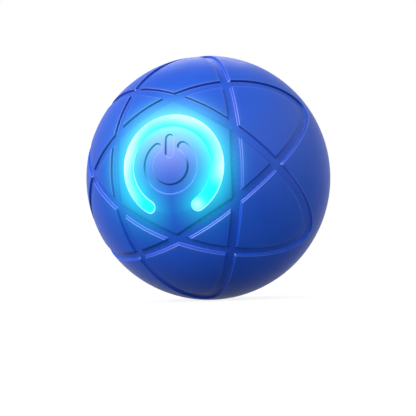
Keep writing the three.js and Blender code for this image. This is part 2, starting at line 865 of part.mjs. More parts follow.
function motorEndCap() {
  const top = motorBack + motorCapThickness;
  const cap = rod(motorRadius - slideGap, motorBack, top);
  const { wide, long, place, high } = motorTerminal;
  const terminals = [0, 180].map((turn) => placed(block(wide, long, motorBack - high, top), place, turn));
  return joined(cap, ...terminals).translate(motorAxis.x, motorAxis.y, 0);
}

function batteryPart(bottom, top, margin) {
  const outline = roundedBlock(batteryThickness - margin, batteryLong - margin, batteryCorner);
  return placed(raised(outline, bottom, top), batteryStart + batteryThickness / 2, batteryTurn);
}

// The charging board is notched where it would meet the shell's posts and bosses.
function chargeBoard() {
  const [bottom, top] = [chargeBoardBack - cutOverrun, chargeBoardFront + cutOverrun];
  return cut(
    rod(chargeBoardRadius, chargeBoardBack, chargeBoardFront, shellSides),
    ...bosses(postRadius + slideGap, bottom, top, rearScrewPlace, rearScrewTurns),
    ...bosses(rearBossRadius + slideGap, bottom, top, bossPlace, shellScrew.turns),
  );
}

// The socket for the charging cable: a metal sleeve with its contact tongue.
function usbPort() {
  const { wide, high, wall, back } = portSize;
  const sleeve = cut(
    raised(barOutline(wide, high), portMouth, chargeBoardBack),
    raised(barOutline(wide - 2 * wall, high - 2 * wall), portMouth - cutOverrun, chargeBoardBack - back),
  );
  const tongue = block(
    portTongue.wide, portTongue.thick, portMouth + portTongue.inset, chargeBoardBack - back / 2,
  );
  return joined(sleeve, tongue);
}

function chargePortPlug() {
  const { wide, high } = portSize;
  const body = common(
    raised(barOutline(plugSize.wide, plugSize.high), -ballRadius, plugInner),
    ball(panelRadius, coverSides, coverRings),
  );
  const pocket = barOutline(wide + 2 * fitGap, high + 2 * fitGap);
  const notch = rod(plugNotch, -ballRadius, -panelRadius + channelDepth, smallSides);
  return cut(
    body,
    raised(pocket, portMouth - fitGap, plugInner + cutOverrun),
    notch.translate(plugSize.wide / 2, 0, 0),
  );
}

// The ribbon

function ribbonArc() {
  const outer = shellInner - ribbon.wallGap;
  return { outer, inner: outer - ribbon.thick };
}

// It leaves the front board, follows the shell's wall past the weight and ends at the rear board.
function ribbonCable() {
  const { outer, inner } = ribbonArc();
  const half = ribbon.thick / 2;
  const front = boardBottom - socket.high / 2;
  const rear = chargeBoardFront + socket.high / 2;
  const frontEnd = boardRadius - fitGap + pressGap;
  const rearEnd = chargeBoardRadius - fitGap + pressGap;
  const arcOf = (radius, shift) => (
    ballArc(radius, heightAngle(radius, front + shift), heightAngle(radius, rear - shift), shellRings * 2)
  );
  const points = [
    [frontEnd, front - half],
    ...arcOf(inner, -half),
    [rearEnd, rear + half],
    [rearEnd, rear - half],
    ...arcOf(outer, half).reverse(),
    [frontEnd, front + half],
  ].map(([distance, height]) => new THREE.Vector2(distance, height));
  return new THREE.ExtrudeGeometry(new THREE.Shape(points), { depth: ribbon.wide, bevelEnabled: false })
    .rotateX(Math.PI / 2)
    .translate(0, ribbon.wide / 2, 0)
    .rotateZ(radians(ribbonTurn));
}

function ribbonSocket(boardEdge, bottom) {
  const body = block(socket.deep, socket.wide, bottom, bottom + socket.high);
  return placed(body, boardEdge - fitGap - socket.deep / 2, ribbonTurn);
}

// A screw with its head toward the rear.
function screw({ head, headHigh, shank }, seat, reach, place, turn) {
  const direction = Math.sign(reach);
  const profile = [
    [0, seat - direction * headHigh],
    [head, seat - direction * headHigh],
    [head, seat],
    [shank, seat],
    [shank, seat + reach],
    [0, seat + reach],
  ];
  const body = turned(direction > 0 ? profile : profile.reverse(), smallSides);
  return placed(body, place, turn);
}

// Materials

function finish(color, roughness, metalness = 0) {
  return new THREE.MeshStandardMaterial({ color, roughness, metalness });
}

const blueSilicone = finish(0x2a5bc8, 0.55);
const paleShell = finish(0xd8dade, 0.5);
const glowLens = finish(0x3af4ff, 0.25);
const blackRubber = finish(0x1d1f24, 0.8);
const boardGreen = finish(0x14532f, 0.5);
const chipBlack = finish(0x17181b, 0.45);
const lampYellow = finish(0xf0e6b4, 0.3);
const gearWhite = finish(0xf0eee6, 0.45);
const steel = finish(0xb9bdc2, 0.3, 1);
const brass = finish(0xc9a24a, 0.35, 1);
const zinc = finish(0x8e9296, 0.45, 1);
const cellSilver = finish(0xc3c7cc, 0.4, 0.6);
const foamGrey = finish(0x55585e, 0.95);
const ribbonWhite = finish(0xe6e2d4, 0.5);

const axisFrame = new THREE.Group();
axisFrame.rotation.x = Math.PI / 2;

function add(name, geometry, material) {
  const mesh = new THREE.Mesh(geometry, material);
  mesh.name = name;
  axisFrame.add(mesh);
}

// Assembly

function addCase() {
  add('front_cover', frontCover(), blueSilicone);
  add('rear_cover', rearCover(), blueSilicone);
  add('front_shell', frontShell(), paleShell);
  add('rear_shell', rearShell(), paleShell);
  add('shell_gasket', shellGasket(), blackRubber);
  shellScrew.turns.forEach((turn, i) => {
    const reach = screwSeat + screwReach;
    add(`shell_screw_${i + 1}`, screw(shellScrew, -screwSeat, reach, bossPlace, turn), steel);
  });
}

function addButton() {
  add('button_panel', buttonPanel(), blueSilicone);
  add('ring_lens', ringLens(), glowLens);
  add('button_gasket', buttonGasket(), blackRubber);
  add('switch_plunger', switchPlunger(), chipBlack);
  add('tact_switch', tactSwitch(), steel);
  add('control_board', controlBoard(), boardGreen);
  add('control_chip', chipUnder(controlChip, boardBottom), chipBlack);
  add('motion_sensor', chipUnder(motionSensor, boardBottom), chipBlack);
  lampTurns().forEach((turn, i) => add(`led_${i + 1}`, lamp(turn), lampYellow));
}

function addDrive() {
  add('front_bearing_plate', frontBearingPlate(), paleShell);
  add('rear_gear_plate', rearGearPlate(), paleShell);
  add('front_bush', bush(frontBushFlange, bearingPlateBottom, bearingPlateTop), brass);
  add('rear_bush', bush(gearPlateTop + bushFlangeThickness, gearPlateTop, gearPlateBottom), brass);
  add('main_shaft', mainShaft(), steel);
  add('weight_carrier', weightCarrier(), gearWhite);
  add('eccentric_weight', eccentricWeight(), zinc);
  add('idler_gear', idlerGear(), gearWhite);
  add('idler_pin', idlerPin(), steel);
  add('motor_pinion', motorPinion(), brass);
  add('motor_shaft', motorShaft(), steel);
  add('motor_can', motorCan(), steel);
  add('motor_end_cap', motorEndCap(), gearWhite);
  const reach = plateThickness + plateScrewReach;
  frontScrewTurns.forEach((turn, i) => {
    const seated = screw(plateScrew, bearingPlateBottom, reach, frontScrewPlace, turn);
    add(`front_plate_screw_${i + 1}`, seated, steel);
  });
  rearScrewTurns.forEach((turn, i) => {
    const seated = screw(plateScrew, gearPlateTop, -reach, rearScrewPlace, turn);
    add(`gear_plate_screw_${i + 1}`, seated, steel);
  });
}

function addPower() {
  add('battery', batteryPart(batteryBack, batteryFront, 0), cellSilver);
  add('battery_foam', batteryPart(batteryFront, gearPlateBottom, batteryCorner), foamGrey);
  add('charge_board', chargeBoard(), boardGreen);
  add('charge_chip', chipUnder(chargeChip, chargeBoardFront + chargeChip.high), chipBlack);
  add('usb_port', usbPort(), steel);
  add('charge_port_plug', chargePortPlug(), blueSilicone);
  add('ribbon_cable', ribbonCable(), ribbonWhite);
  add('front_ribbon_socket', ribbonSocket(boardRadius, boardBottom - socket.high), gearWhite);
  add('rear_ribbon_socket', ribbonSocket(chargeBoardRadius, chargeBoardFront), gearWhite);
}

addCase();
addButton();
addDrive();
addPower();

const rollingBall = new THREE.Group();
rollingBall.name = 'rolling_ball';
rollingBall.add(axisFrame);

export default rollingBall;
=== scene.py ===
"""Dresses the packed model of a self rolling cat ball: its silicone covers with their crossing
channels, the lit power key, the charging plug and the finishes of everything inside.

Lengths are in metres. The outside is built in the pole's own frame, in which +Z points out of
the button, +X to the right and +Y up, and in_part() turns it into the part's frame.
"""

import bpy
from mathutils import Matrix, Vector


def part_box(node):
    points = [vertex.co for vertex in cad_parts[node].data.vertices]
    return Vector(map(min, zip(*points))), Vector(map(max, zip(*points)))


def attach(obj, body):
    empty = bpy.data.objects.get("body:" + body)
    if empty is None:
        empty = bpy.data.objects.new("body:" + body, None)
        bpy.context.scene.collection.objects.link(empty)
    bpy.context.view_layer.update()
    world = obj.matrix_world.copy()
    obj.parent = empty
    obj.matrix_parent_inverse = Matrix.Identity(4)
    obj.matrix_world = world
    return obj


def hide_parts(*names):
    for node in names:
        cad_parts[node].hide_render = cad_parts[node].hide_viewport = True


bl_info = {
    "name": "Cat Ball",
    "version": (1, 0, 0),
    "blender": (4, 5, 0),
    "location": "3D View > Sidebar > Cat Ball",
    "description": "Builds the covers, the lit key and the finishes of a self rolling cat ball",
    "category": "Object",
}

from math import pi, radians

import bpy
import numpy as np
from mathutils import Matrix, Vector
from mathutils.geometry import delaunay_2d_cdt
from mathutils.kdtree import KDTree

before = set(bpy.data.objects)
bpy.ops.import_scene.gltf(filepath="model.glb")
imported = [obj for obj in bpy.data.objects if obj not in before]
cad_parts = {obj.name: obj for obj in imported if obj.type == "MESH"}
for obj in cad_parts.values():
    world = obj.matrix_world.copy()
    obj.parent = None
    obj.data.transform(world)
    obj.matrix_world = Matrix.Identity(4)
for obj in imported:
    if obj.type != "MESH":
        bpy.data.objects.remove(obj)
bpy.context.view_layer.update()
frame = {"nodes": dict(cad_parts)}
BALL_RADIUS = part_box("front_cover")[1].x
PANEL_RADIUS = -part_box("button_panel")[0].y
KEY_FLANGE_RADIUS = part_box("button_panel")[1].x
STEM_BOTTOM = -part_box("button_panel")[1].y
LENS_BOTTOM = -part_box("ring_lens")[1].y
LENS_ABOVE_FLANGE = 0.0001
KEY_FLANGE_BOTTOM = LENS_BOTTOM - LENS_ABOVE_FLANGE
PLUG_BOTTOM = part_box("charge_port_plug")[0].y
PLUG_SIZE = (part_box("charge_port_plug")[1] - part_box("charge_port_plug")[0]).xz

# Turns of the loops' long axes round the pole
LOOP_TURNS = (radians(30), radians(90), radians(150))

# A distance that stands for no wall at all, one at which two places are the same, and the least
# number that is divided by
FAR_AWAY = 1.0
MERGE_DISTANCE = 1e-6
TINY = 1e-12

# Steps for slopes: in radians over the ball, and in metres across the axis
ANGLE_STEP = 2e-4
PLACE_STEP = 4e-6

# Points round the equator, and round each turned piece
EQUATOR_POINTS = 240
TURNED_SIDES = 96

# Rows of points along a wall, how far they reach past a channel's wall, in widths of its painted
# highlight line, and how far out they lie from the middle of an engraved wall, in its widths
WALL_ROWS = 11
ROWS_BEYOND = 1.6
ENGRAVED_ROWS = 1.2

# Rows of points in a rounding, and further in on the lens, as shares of its radius
ROUND_ROWS = np.array([0.15, 0.4, 0.7, 1.0])
LENS_ROWS = np.array([*ROUND_ROWS, 2.0, 3.5])

# Width of the painted highlight line on the symbol's walls, in widths of a wall
SYMBOL_LINE = 0.22

# How far the filling points stay from the cover's lines, as a share of their spacing, and how
# far the points of a back are searched, as a share of the face's reach
COVER_CLEARANCE = 0.55
BACK_MARGIN = 1.05

# A loop's edge is sampled at this many turns, and each line beside it settles in these rounds,
# each by this share of what it is off
EDGE_SAMPLES = 4001
SETTLING_ROUNDS = 4
SETTLING_SHARE = 0.8

# Angles from the pole between which the cover's inner face goes over from lying straight
# behind the outer one to lying under it
STRAIGHT_WITHIN = radians(32)
ROUND_BEYOND = radians(57)

# The range that most of a noise lies in, and the one that clouds have
NOISE_RANGE = (0.3, 0.7)
CLOUD_RANGE = (0.35, 0.65)

# The direction that the photo's light comes from, across the axis
LIGHT_ACROSS = np.array([-0.47, 0.88])

# Slope of a full wall, how sharply walls part into lit and shaded ones, and how far the
# parting leans toward the lit ones
WALL_SLOPE = 1.4
LIGHT_CONTRAST = 2.6
LIGHT_LEAN = 0.12

# Darkness of the painted shade round the key, and how much it changes toward and off the light
GAP_SHADE_DARKNESS = 0.55
GAP_SHADE_SWING = 0.45

# The flat place that the edges' painted highlight faces, how far before it they shine fully, how wide
# the shine spreads beside it, and the share that an edge keeps where it faces away from the light
SHINES_AT = np.array([-0.02, 0.27])
SHINE_ONSET = 0.3
SHINE_SPREAD = 0.4
FAINT_SHINE = 0.2

# Painted highlight on a wall's foot beside its top, and how far past a corner the foot's line sets in
FOOT_SHINE = 0.8
CORNER_FADE = 0.0002

# How far toward the light, in flat places, the painted highlight on walls off the light sets in
PALER_BETWEEN = (-1 / 9, 4 / 9)

# The far panels begin between these shares of the outer edge's short angle. There lit edges
# lose a share of their painted highlight. Crossings past their own share show a painted highlight dot.
FAR_PANELS = (1.55, 1.9)
FAR_DIMMING = 0.7
DOTS_BEYOND = 1.5

# The seeping light, painted on the skin as a glow, inside the ring and outside it: its reach near
# the ring and far from it, its strength, what each gains on the left or at the top, and the share
# that is lost below, between these sines of the turn
GLOW_NEAR = (0.0030, 0.0042)
GLOW_NEAR_LEFT = (0.0010, 0.0004)
GLOW_FAR = (0.0036, 0.0032)
GLOW_FAR_LEFT = (0, 0.0008)
GLOW_STRENGTH = (0.83, 0.62)
GLOW_STRENGTH_LEFT = (-0.13, 0)
GLOW_STRENGTH_TOP = (-0.05, 0.02)
GLOW_LOST_BELOW = 0.47
GLOW_FADES_BELOW = (0.5, 1)

# The painted highlight above the symbol: its middle and its size across the axis
HIGHLIGHT_AT = (0, 0.0042)
HIGHLIGHT_SIZE = (0.0056, 0.0047)

# The painted sheen: its height and half height, its least share, and where it rises to the right
SHEEN_AT = 0.004
SHEEN_HIGH = 0.009
SHEEN_LEAST = 0.3
SHEEN_BETWEEN = (0.006, 0.019)

# The lens burns out most at some even turns: their number and the first, the mean strength and
# its swing, and the power by which it fades inward, less on the left and at these turns
BURN_TURNS = 4
BURN_TURN = radians(72)
BURN_STRENGTH = 0.76
BURN_SWING = 0.18
BURN_POWER = 1.45
BURN_POWER_LEFT = 0.45
BURN_POWER_SWING = 0.35

# Sines of the turns between which the burn sets in, and how much lower it does on the left
BURN_BETWEEN = (-0.5, -0.05)
BURN_LOWER_LEFT = 0.42

# The burnt spot at the lens's right tip, and the painted highlight along its edge. On the inner
# side it is strong only near a turn, by the cosine from that turn, and keeps a least share.
TIP_BURN = 0.55
TIP_RADIUS = 0.0009
EDGE_HIGHLIGHT = 0.9
EDGE_HIGHLIGHT_WIDTH = 0.00009
INNER_LINE_TURN = radians(220)
INNER_LINE_BETWEEN = (0.2, 0.6)
INNER_LINE_LEAST = 0.2

WHITE = (1, 1, 1)

# Width of the camera's sensor in millimetres, and the nearest and farthest it sees, in metres
SENSOR_WIDTH = 36
CAMERA_SEES = (0.01, 20)

# Each lamp's place, its width and the setting of its power
LAMPS = {
    "key_lamp": ((-0.14, -0.265, 0.122), 0.14, "key_power"),
    "top_lamp": ((-0.06, 0.20, 0.22), 0.16, "top_power"),
    "rim_lamp": ((0.18, 0.10, 0.16), 0.12, "rim_power"),
    "fill_lamp": ((0.10, -0.28, 0.08), 0.20, "fill_power"),
}


# Settings


def length(name, description, default):
    return bpy.props.FloatProperty(
        name=name,
        description=description,
        default=default,
        subtype="DISTANCE",
        unit="LENGTH",
        precision=5,
    )


def angle(name, description, degrees):
    return bpy.props.FloatProperty(
        name=name,
        description=description,
        default=radians(degrees),
        subtype="ANGLE",
        unit="ROTATION",
    )


def share(name, description, default):
    return bpy.props.FloatProperty(name=name, description=description, default=default)


def colour(name, description, default):
    return bpy.props.FloatVectorProperty(
        name=name,
        description=description,
        default=default,
        subtype="COLOR",
        size=3,
        min=0.0,
        max=1.0,
    )


class CoverSettings(bpy.types.PropertyGroup):
    """Sizes of the silicone covers and of the channels in them"""

    inner_radius: length("Inside", "Radius of the cover's inner face", 0.0197)
    inner_long: angle("Inner edge, long", "A loop's inner edge along its long axis", 71)
    inner_short: angle("Inner edge, short", "A loop's inner edge across it", 26.4)
    outer_long: angle("Outer edge, long", "A loop's outer edge along its long axis", 81.5)
    outer_short: angle("Outer edge, short", "A loop's outer edge across it", 31.25)
    inner_power: share("Inner power", "Power of the inner edges' superellipse", 1.85)
    outer_power: share("Outer power", "Power of the outer edges' superellipse", 1.78)
    depth: length("Channel depth", "How far the channels lie below the panels", 0.00042)
    inner_inset: length("Inner inset", "How far inner walls stand back from their edge", 0.0002)
    wall_start: length("Wall start", "How far inside its edge the rounded wall begins", 0.00008)
    wall_width: length("Wall width", "Width of the channel's rounded wall", 0.00025)
    # The painted highlight on the channels' rounded edges: its share on walls off the light, its
    # corner dots and its width
    shaded_shine: share("Shaded shine", "The paler line's share on walls off the light", 0.2)
    corner_dot: length("Corner dot", "Radius of the pale dot in each outer corner", 0.00009)
    edge_shine: length("Edge shine", "Width of the paler line on each rounding", 0.000042)
    line_step: length("Line step", "Spacing of points along the channel's edges", 0.00035)
    fill_step: length("Fill step", "Spacing of points on the panels", 0.0006)
    crossing_step: length("Crossing step", "Spacing of points where channels cross", 0.00014)
    back_step: length("Back step", "Spacing of points on the inner face", 0.0022)


class KeySettings(bpy.types.PropertyGroup):
    """Sizes of the power key, its light ring, the power symbol and the plug"""

    bow: length("Bow", "How far the key's sides bow outward", 0.00014)
    skirt: length("Skirt", "Thickness of the skirt below the key's face", 0.0008)
    flange: length("Flange", "Thickness of the flange at the skirt's foot", 0.0008)
    flange_reach: length("Flange reach", "How far the flange reaches in from its rim", 0.003)
    stem_radius: length("Stem radius", "Radius of the stem that presses the switch", 0.0016)
    gap: length("Gap", "Gap round the key and the plug", 0.00015)
    lens_gap: length("Lens gap", "Gap round the lens in its slot", 0.00002)
    round_edge: length("Edge", "Rounding of the key's edges", 0.0002)
    wall: length("Wall", "Thickness of the key's face", 0.0015)
    ring_radius: length("Ring radius", "Middle of the light ring", 0.0072945)
    ring_width: length("Ring width", "Width of the light ring", 0.00202)
    ring_half_gap: angle("Ring gap", "Half of the gap at the ring's foot", 32.5)
    ring_crown: length("Ring crown", "How far the lens stands above its rim", 0.00006)
    symbol_radius: length("Symbol radius", "Middle of the power symbol's ring", 0.0036)
    symbol_width: length("Symbol width", "Width of the symbol's ring", 0.00146)
    symbol_half_gap: angle("Symbol gap", "Half of the gap at the symbol's top", 35)
    symbol_depth: length("Symbol depth", "How deep the symbol is engraved", 0.00035)
    bar_width: length("Bar width", "Width of the symbol's bar", 0.0013)
    bar_bottom: length("Bar bottom", "Height of the bar's lower end", 0.0013)
    bar_top: length("Bar top", "Height of the bar's upper end", 0.005)
    engraved_wall: length("Engraved wall", "Width of the symbol's rounded wall", 0.0003)
    fill_step: length("Fill step", "Spacing of points on the key's face", 0.0003)
    notch_radius: length("Notch radius", "Radius of the fingernail notch in the plug", 0.0007)
    notch_depth: length("Notch depth", "Depth of that notch", 0.0005)
    notch_wall: length("Notch wall", "Width of the notch's rounded wall", 0.0003)


class SkinSettings(bpy.types.PropertyGroup):
    """Colours of the silicone skin and of its light"""

    blue: colour("Blue", "The silicone's colour", (0.016, 0.098, 0.62))
    deep_blue: colour("Deep blue", "Its darker cloud", (0.013, 0.088, 0.58))
    # Colour of the painted highlight on the rounded edges
    edge_highlight_blue: colour("Edge blue", "Its rounded edges, rubbed paler", (0.60, 0.64, 1.0))
    # Colour of the painted sheen on the skin
    bloom: colour("Bloom", "Pale haze on the rubbed skin", (0.75, 0.75, 0.85))
    # Painted shade on channel walls turned from the light, and painted light on walls that face it
    painted_shade_blue: colour("Shaded blue", "Channel walls off the light", (0.001, 0.042, 0.35))
    painted_light_blue: colour("Lit blue", "Channel walls that face the light", (0.012, 0.11, 0.80))
    # The ring's light painted on the skin as a glow, near the ring and far from it
    glow: colour("Glow", "Light that seeps through the silicone", (0.015, 1.0, 0.47))
    far_glow: colour("Far glow", "The same light far from the ring", (0.012, 0.80, 0.64))
    # Colour of the painted highlight above the symbol
    wash: colour("Wash", "Paler light above the symbol", (0.28, 0.28, 0.34))
    painted_sheen_share: share("Bloom share", "How much of the haze the skin takes at most", 0.045)
    # How far walls take their painted shade and their painted light
    shaded_share: share("Shaded share", "How far walls off the light take their colour", 0.92)
    lit_share: share("Lit share", "How far walls that face the light take theirs", 0.5)
    # Share of the painted highlight on the rounded edges
    shine_share: share("Edge share", "How far the rounded edges take theirs", 0.85)
    wall_shade: share("Wall shade", "Seeping light lost on walls turned from the light", 0.22)
    symbol_shade: share("Symbol shade", "The same for the symbol's walls", 0.12)
    # Painted highlight on the symbol's walls that face the light
    symbol_shine: share("Symbol shine", "Paleness of the symbol's lit walls", 0.4)
    # Painted shade in the gap round the key: its strength and its width
    key_line: share("Key line", "How dark the gap round the key looks", 1.1)
    key_line_width: length("Key line width", "Width of that darker line", 0.00016)
    lens_cyan: colour("Lens", "The lens where it is most saturated", (0.0, 1.0, 1.0))
    # This colour also carries the painted highlight along the lens's edge
    lens_pale: colour("Lens rim", "The lens where the lamps burn it out", (0.84, 1.0, 0.97))


class StudioSettings(bpy.types.PropertyGroup):
    """The camera and the lamps"""

    azimuth: angle("Azimuth", "The camera's turn round the ball", 16.33)
    elevation: angle("Elevation", "The camera's height above the ball's middle", -6.05)
    roll: angle("Roll", "The camera's lean", 1.9)
    distance: length("Distance", "From the camera to the ball's middle", 0.157)
    focal_px: share("Focal length", "Focal length in pixels of the picture", 882.2)
    picture: share("Picture", "Width and height of the picture in pixels", 416.0)
    middle_x: share("Middle across", "Where the ball's middle lands, across", 208.37)
    middle_y: share("Middle down", "Where the ball's middle lands, down", 178.38)
    key_power: share("Key lamp", "Power of the lamp at upper left, in watts", 0.62)
    top_power: share("Top lamp", "Power of the lamp behind and above, in watts", 0.18)
    rim_power: share("Rim lamp", "Power of the lamp behind at the right, in watts", 0.05)
    fill_power: share("Fill lamp", "Power of the lamp in front, in watts", 0.19)
    room_dark: share("Room, dark side", "Light of the room from the lower right", 0.38)
    room_bright: share("Room, lit side", "Light of the room from the upper left", 0.70)
    floor_size: length("Floor", "Half the floor's width", 3.0)
    floor_tone: colour("Floor tone", "The floor's own colour", (0.26, 0.26, 0.265))
    floor_light: share("Floor light", "Light added to the floor where it is seen", 0.85)
    light_from: bpy.props.FloatVectorProperty(
        name="Light from",
        description="Where the light comes from, as the camera sees it: right, up, toward it",
        default=(-0.5, 0.68, 0.54),
        subtype="DIRECTION",
    )


SETTINGS = {
    "cat_ball_cover": CoverSettings,
    "cat_ball_key": KeySettings,
    "cat_ball_skin": SkinSettings,
    "cat_ball_studio": StudioSettings,
}


# The channel pattern on the ball. Flat places are angles from the pole times a direction.


def smooth(share_of_way):
    """An S-shaped step from 0 to 1."""
    t = np.clip(share_of_way, 0, 1)
    return t * t * (3 - 2 * t)


def ramp(value, low, high):
    """An S-shaped step from 0 at low to 1 at high."""
    return smooth((value - low) / (high - low))


def bell(distance, width):
    """1 at no distance, and close to 0 a few widths away."""
    return np.exp(-((distance / width) ** 2))


def lengths(ways):
    """Lengths of ways across, none of them zero."""
    return np.maximum(np.hypot(*ways.T), MERGE_DISTANCE)


def most_of_others(values, k):
    """The largest of the loops' values but for loop k."""
    return np.maximum.reduce(values[:k] + values[k + 1 :])


def loop_edge(direction, long, short, power):
    """A loop edge's angle from the pole in a direction from its long axis, and its slope."""
    along = np.abs(np.cos(direction)) / long
    across = np.abs(np.sin(direction)) / short
    total = along**power + across**power
    edge = total ** (-1 / power)
    toward = across ** (power - 1) * np.cos(direction) * np.sign(np.sin(direction)) / short
    back = along ** (power - 1) * np.sin(direction) * np.sign(np.cos(direction)) / long
    return edge, edge / total * (back - toward)


def edge_distance(flat, turn, shape):
    """How far places lie outward from a loop's edge, along the ball's surface."""
    from_pole = np.hypot(*flat.T)
    edge, slope = loop_edge(np.arctan2(flat[:, 1], flat[:, 0]) - turn, *shape)
    steepness = np.hypot(1, slope / np.maximum(np.sin(from_pole), MERGE_DISTANCE))
    return BALL_RADIUS * (from_pole - edge) / steepness


def channel_edges(cover):
    """The inner and the outer edge: its shape, which is its angles along and across the loop
    and its power, the side of it on which the channel lies, and how far its wall stands back."""
    inner = (cover.inner_long, cover.inner_short, cover.inner_power)
    outer = (cover.outer_long, cover.outer_short, cover.outer_power)
    return (inner, 1, cover.inner_inset), (outer, -1, 0)


def edge_distances(flat, edge):
    """For each loop how far places lie outward from the wall of this edge."""
    shape, _, inset = edge
    return [edge_distance(flat, turn, shape) + inset for turn in LOOP_TURNS]


def wall_foot(cover):
    """How far inside a channel's edge its floor begins."""
    return cover.wall_start + cover.wall_width


def channel_reach(flat, cover, open_key):
    """For each loop how far places lie inside its channel, and the distance from the hexagon.

    With open_key the channels have no inner wall beside the hexagon, because the key has it."""
    inner, outer = (edge_distances(flat, edge) for edge in channel_edges(cover))
    reach = []
    for k, (from_inner, from_outer) in enumerate(zip(inner, outer)):
        if open_key:
            beside_key = most_of_others(inner, k) < wall_foot(cover)
            from_inner = np.where(beside_key, FAR_AWAY, from_inner)
        reach.append(np.minimum(from_inner, -from_outer))
    return reach, np.maximum.reduce(inner)


def cover_face(flat, cover, open_key):
    """Distance from the ball's middle of the cover's outer face."""
    reach, from_hexagon = channel_reach(flat, cover, open_key)
    sunk = ramp(np.maximum.reduce(reach), cover.wall_start, wall_foot(cover))
    panel = np.where(from_hexagon < wall_foot(cover), PANEL_RADIUS, BALL_RADIUS)
    floor = BALL_RADIUS - cover.depth
    return panel - sunk * (panel - floor)


def edge_shine(flat, cover, open_key):
    """How far a place lies in the painted highlight on the rounded top or foot of a channel's wall
    that faces the light, from 0 to 1."""
    reach = np.sort(channel_reach(flat, cover, open_key)[0], axis=0)
    into = reach[-1]
    past_corner = smooth((into - reach[-2]) / CORNER_FADE)
    top = bell(into - cover.wall_start, cover.edge_shine)
    foot = bell(into - wall_foot(cover), cover.edge_shine)
    far_off = ramp(np.hypot(*flat.T) / cover.outer_short, *FAR_PANELS)
    lit = catches_light(lambda f: cover_face(f, cover, open_key), flat, cover.edge_shine)
    lit = lit * (1 - FAR_DIMMING * far_off)
    paler = np.maximum(ramp(flat @ LIGHT_ACROSS, *PALER_BETWEEN), far_off)
    least = cover.shaded_shine * paler
    lines = np.maximum(top, FOOT_SHINE * foot * past_corner) * (least + (1 - least) * lit)
    return np.maximum(lines, corner_dots(flat, cover))


def crossing_distance(flat, cover):
    """How far places lie from the nearest crossing of two channels' outer walls."""
    middle = cover.wall_start + cover.wall_width / 2
    outer = edge_distances(flat, channel_edges(cover)[1])
    off = np.sort(np.abs(np.array(outer) + middle), axis=0)
    return np.hypot(*off[:2])


def corner_dots(flat, cover):
    """A painted highlight dot, 1 in the outer corners where two channels cross far from the pole."""
    middle = cover.wall_start + cover.wall_width / 2
    into = np.maximum.reduce(channel_reach(flat, cover, True)[0])
    on_wall = 1 - ramp(into, middle, wall_foot(cover))
    dots = bell(crossing_distance(flat, cover), cover.corner_dot) * on_wall
    return dots * (np.hypot(*flat.T) > cover.outer_short * DOTS_BEYOND)


def fall(height, places, step):
    """How much a height drops across a step to the right and a step up."""
    right = np.array([step, 0])
    ways = (right, right[::-1])
    return np.stack([height(places - way) - height(places + way) for way in ways], 1) / 2


def catches_light(height, flat, reach):
    """1 where a wall's rounded edges turn through the direction that shines most, 0 where they
    don't. The drop is taken over a wide reach, so that the rounded edges belong to their wall."""
    drop = fall(height, flat, 2 * reach / BALL_RADIUS)
    facing = drop / lengths(drop)[:, None]
    to_shine = SHINES_AT - flat
    along = (to_shine * facing).sum(axis=1)
    beside = np.hypot(*(to_shine - along[:, None] * facing).T)
    toward_light = 0.5 + facing @ LIGHT_ACROSS / 2
    passing = smooth(along / SHINE_ONSET) * bell(beside, SHINE_SPREAD)
    return passing * (FAINT_SHINE + (1 - FAINT_SHINE) * toward_light)


def edge_line(turn, shape, away, cover):
    """Evenly spaced flat places on a line that runs at a distance outward from a loop's edge."""
    direction = np.linspace(0, 2 * pi, EDGE_SAMPLES)
    from_pole = loop_edge(direction, *shape)[0] + away / BALL_RADIUS
    for _ in range(SETTLING_ROUNDS):
        off = edge_distance(polar(from_pole, direction + turn), turn, shape) - away
        from_pole = from_pole - SETTLING_SHARE * off / BALL_RADIUS
    steps = np.hypot(np.diff(from_pole), np.sin(from_pole[1:]) * np.diff(direction))
    run = np.concatenate([[0], np.cumsum(steps)])
    count = int(run[-1] * BALL_RADIUS / cover.line_step)
    wanted = np.linspace(0, run[-1], count, endpoint=False)
    return polar(np.interp(wanted, run, from_pole), np.interp(wanted, run, direction) + turn)


def polar(distance, direction):
    return np.stack([distance * np.cos(direction), distance * np.sin(direction)], 1)


def key_corner(cover):
    """Distance across the axis of the corners that the channels' inner edges make."""
    shape = channel_edges(cover)[0][0]
    edges = [loop_edge(LOOP_TURNS[0] - turn, *shape)[0] for turn in LOOP_TURNS]
    return BALL_RADIUS * np.sin(min(edges))


def key_side(turn, cover, key):
    """For a direction round the pole: its turn from the middle of the key's side, and how far
    that side lies from the axis there."""
    half = pi / (2 * len(LOOP_TURNS))
    off = (turn + half) % (2 * half) - half
    return off, key_corner(cover) * np.cos(half) + key.bow * (1 - (off / half) ** 2)


def inside_key(places, cover, key):
    """How far places across the axis lie inside the key's outline."""
    off, side = key_side(np.arctan2(places[:, 1], places[:, 0]), cover, key)
    return side - np.hypot(*places.T) * np.cos(off)


def key_outline(growth, cover, key):
    """The key's outline across the axis, grown outward by a distance, anticlockwise."""
    per_side = int(key_corner(cover) / cover.line_step)
    turn = np.linspace(0, 2 * pi, 2 * len(LOOP_TURNS) * per_side, endpoint=False) + LOOP_TURNS[0]
    off, side = key_side(turn, cover, key)
    return polar((side + growth) / np.cos(off), turn)


def channel_lines(cover, open_key):
    """Open runs of flat places along the channels' rounded walls."""
    lines = []
    beyond = ROWS_BEYOND * cover.edge_shine
    levels = cover.wall_start + np.linspace(-beyond, cover.wall_width + beyond, WALL_ROWS)
    for k, turn in enumerate(LOOP_TURNS):
        for shape, side, inset in channel_edges(cover):
            for level in levels:
                places = edge_line(turn, shape, side * level - inset, cover)
                reach, from_hexagon = channel_reach(places, cover, open_key)
                kept = most_of_others(reach, k) < wall_foot(cover)
                kept &= reach[k] < wall_foot(cover) + 2 * cover.edge_shine
                if open_key:
                    kept &= from_hexagon > wall_foot(cover)
                lines += runs(places, kept)
    return lines


def closed(line):
    return np.concatenate([line, line[:1]])


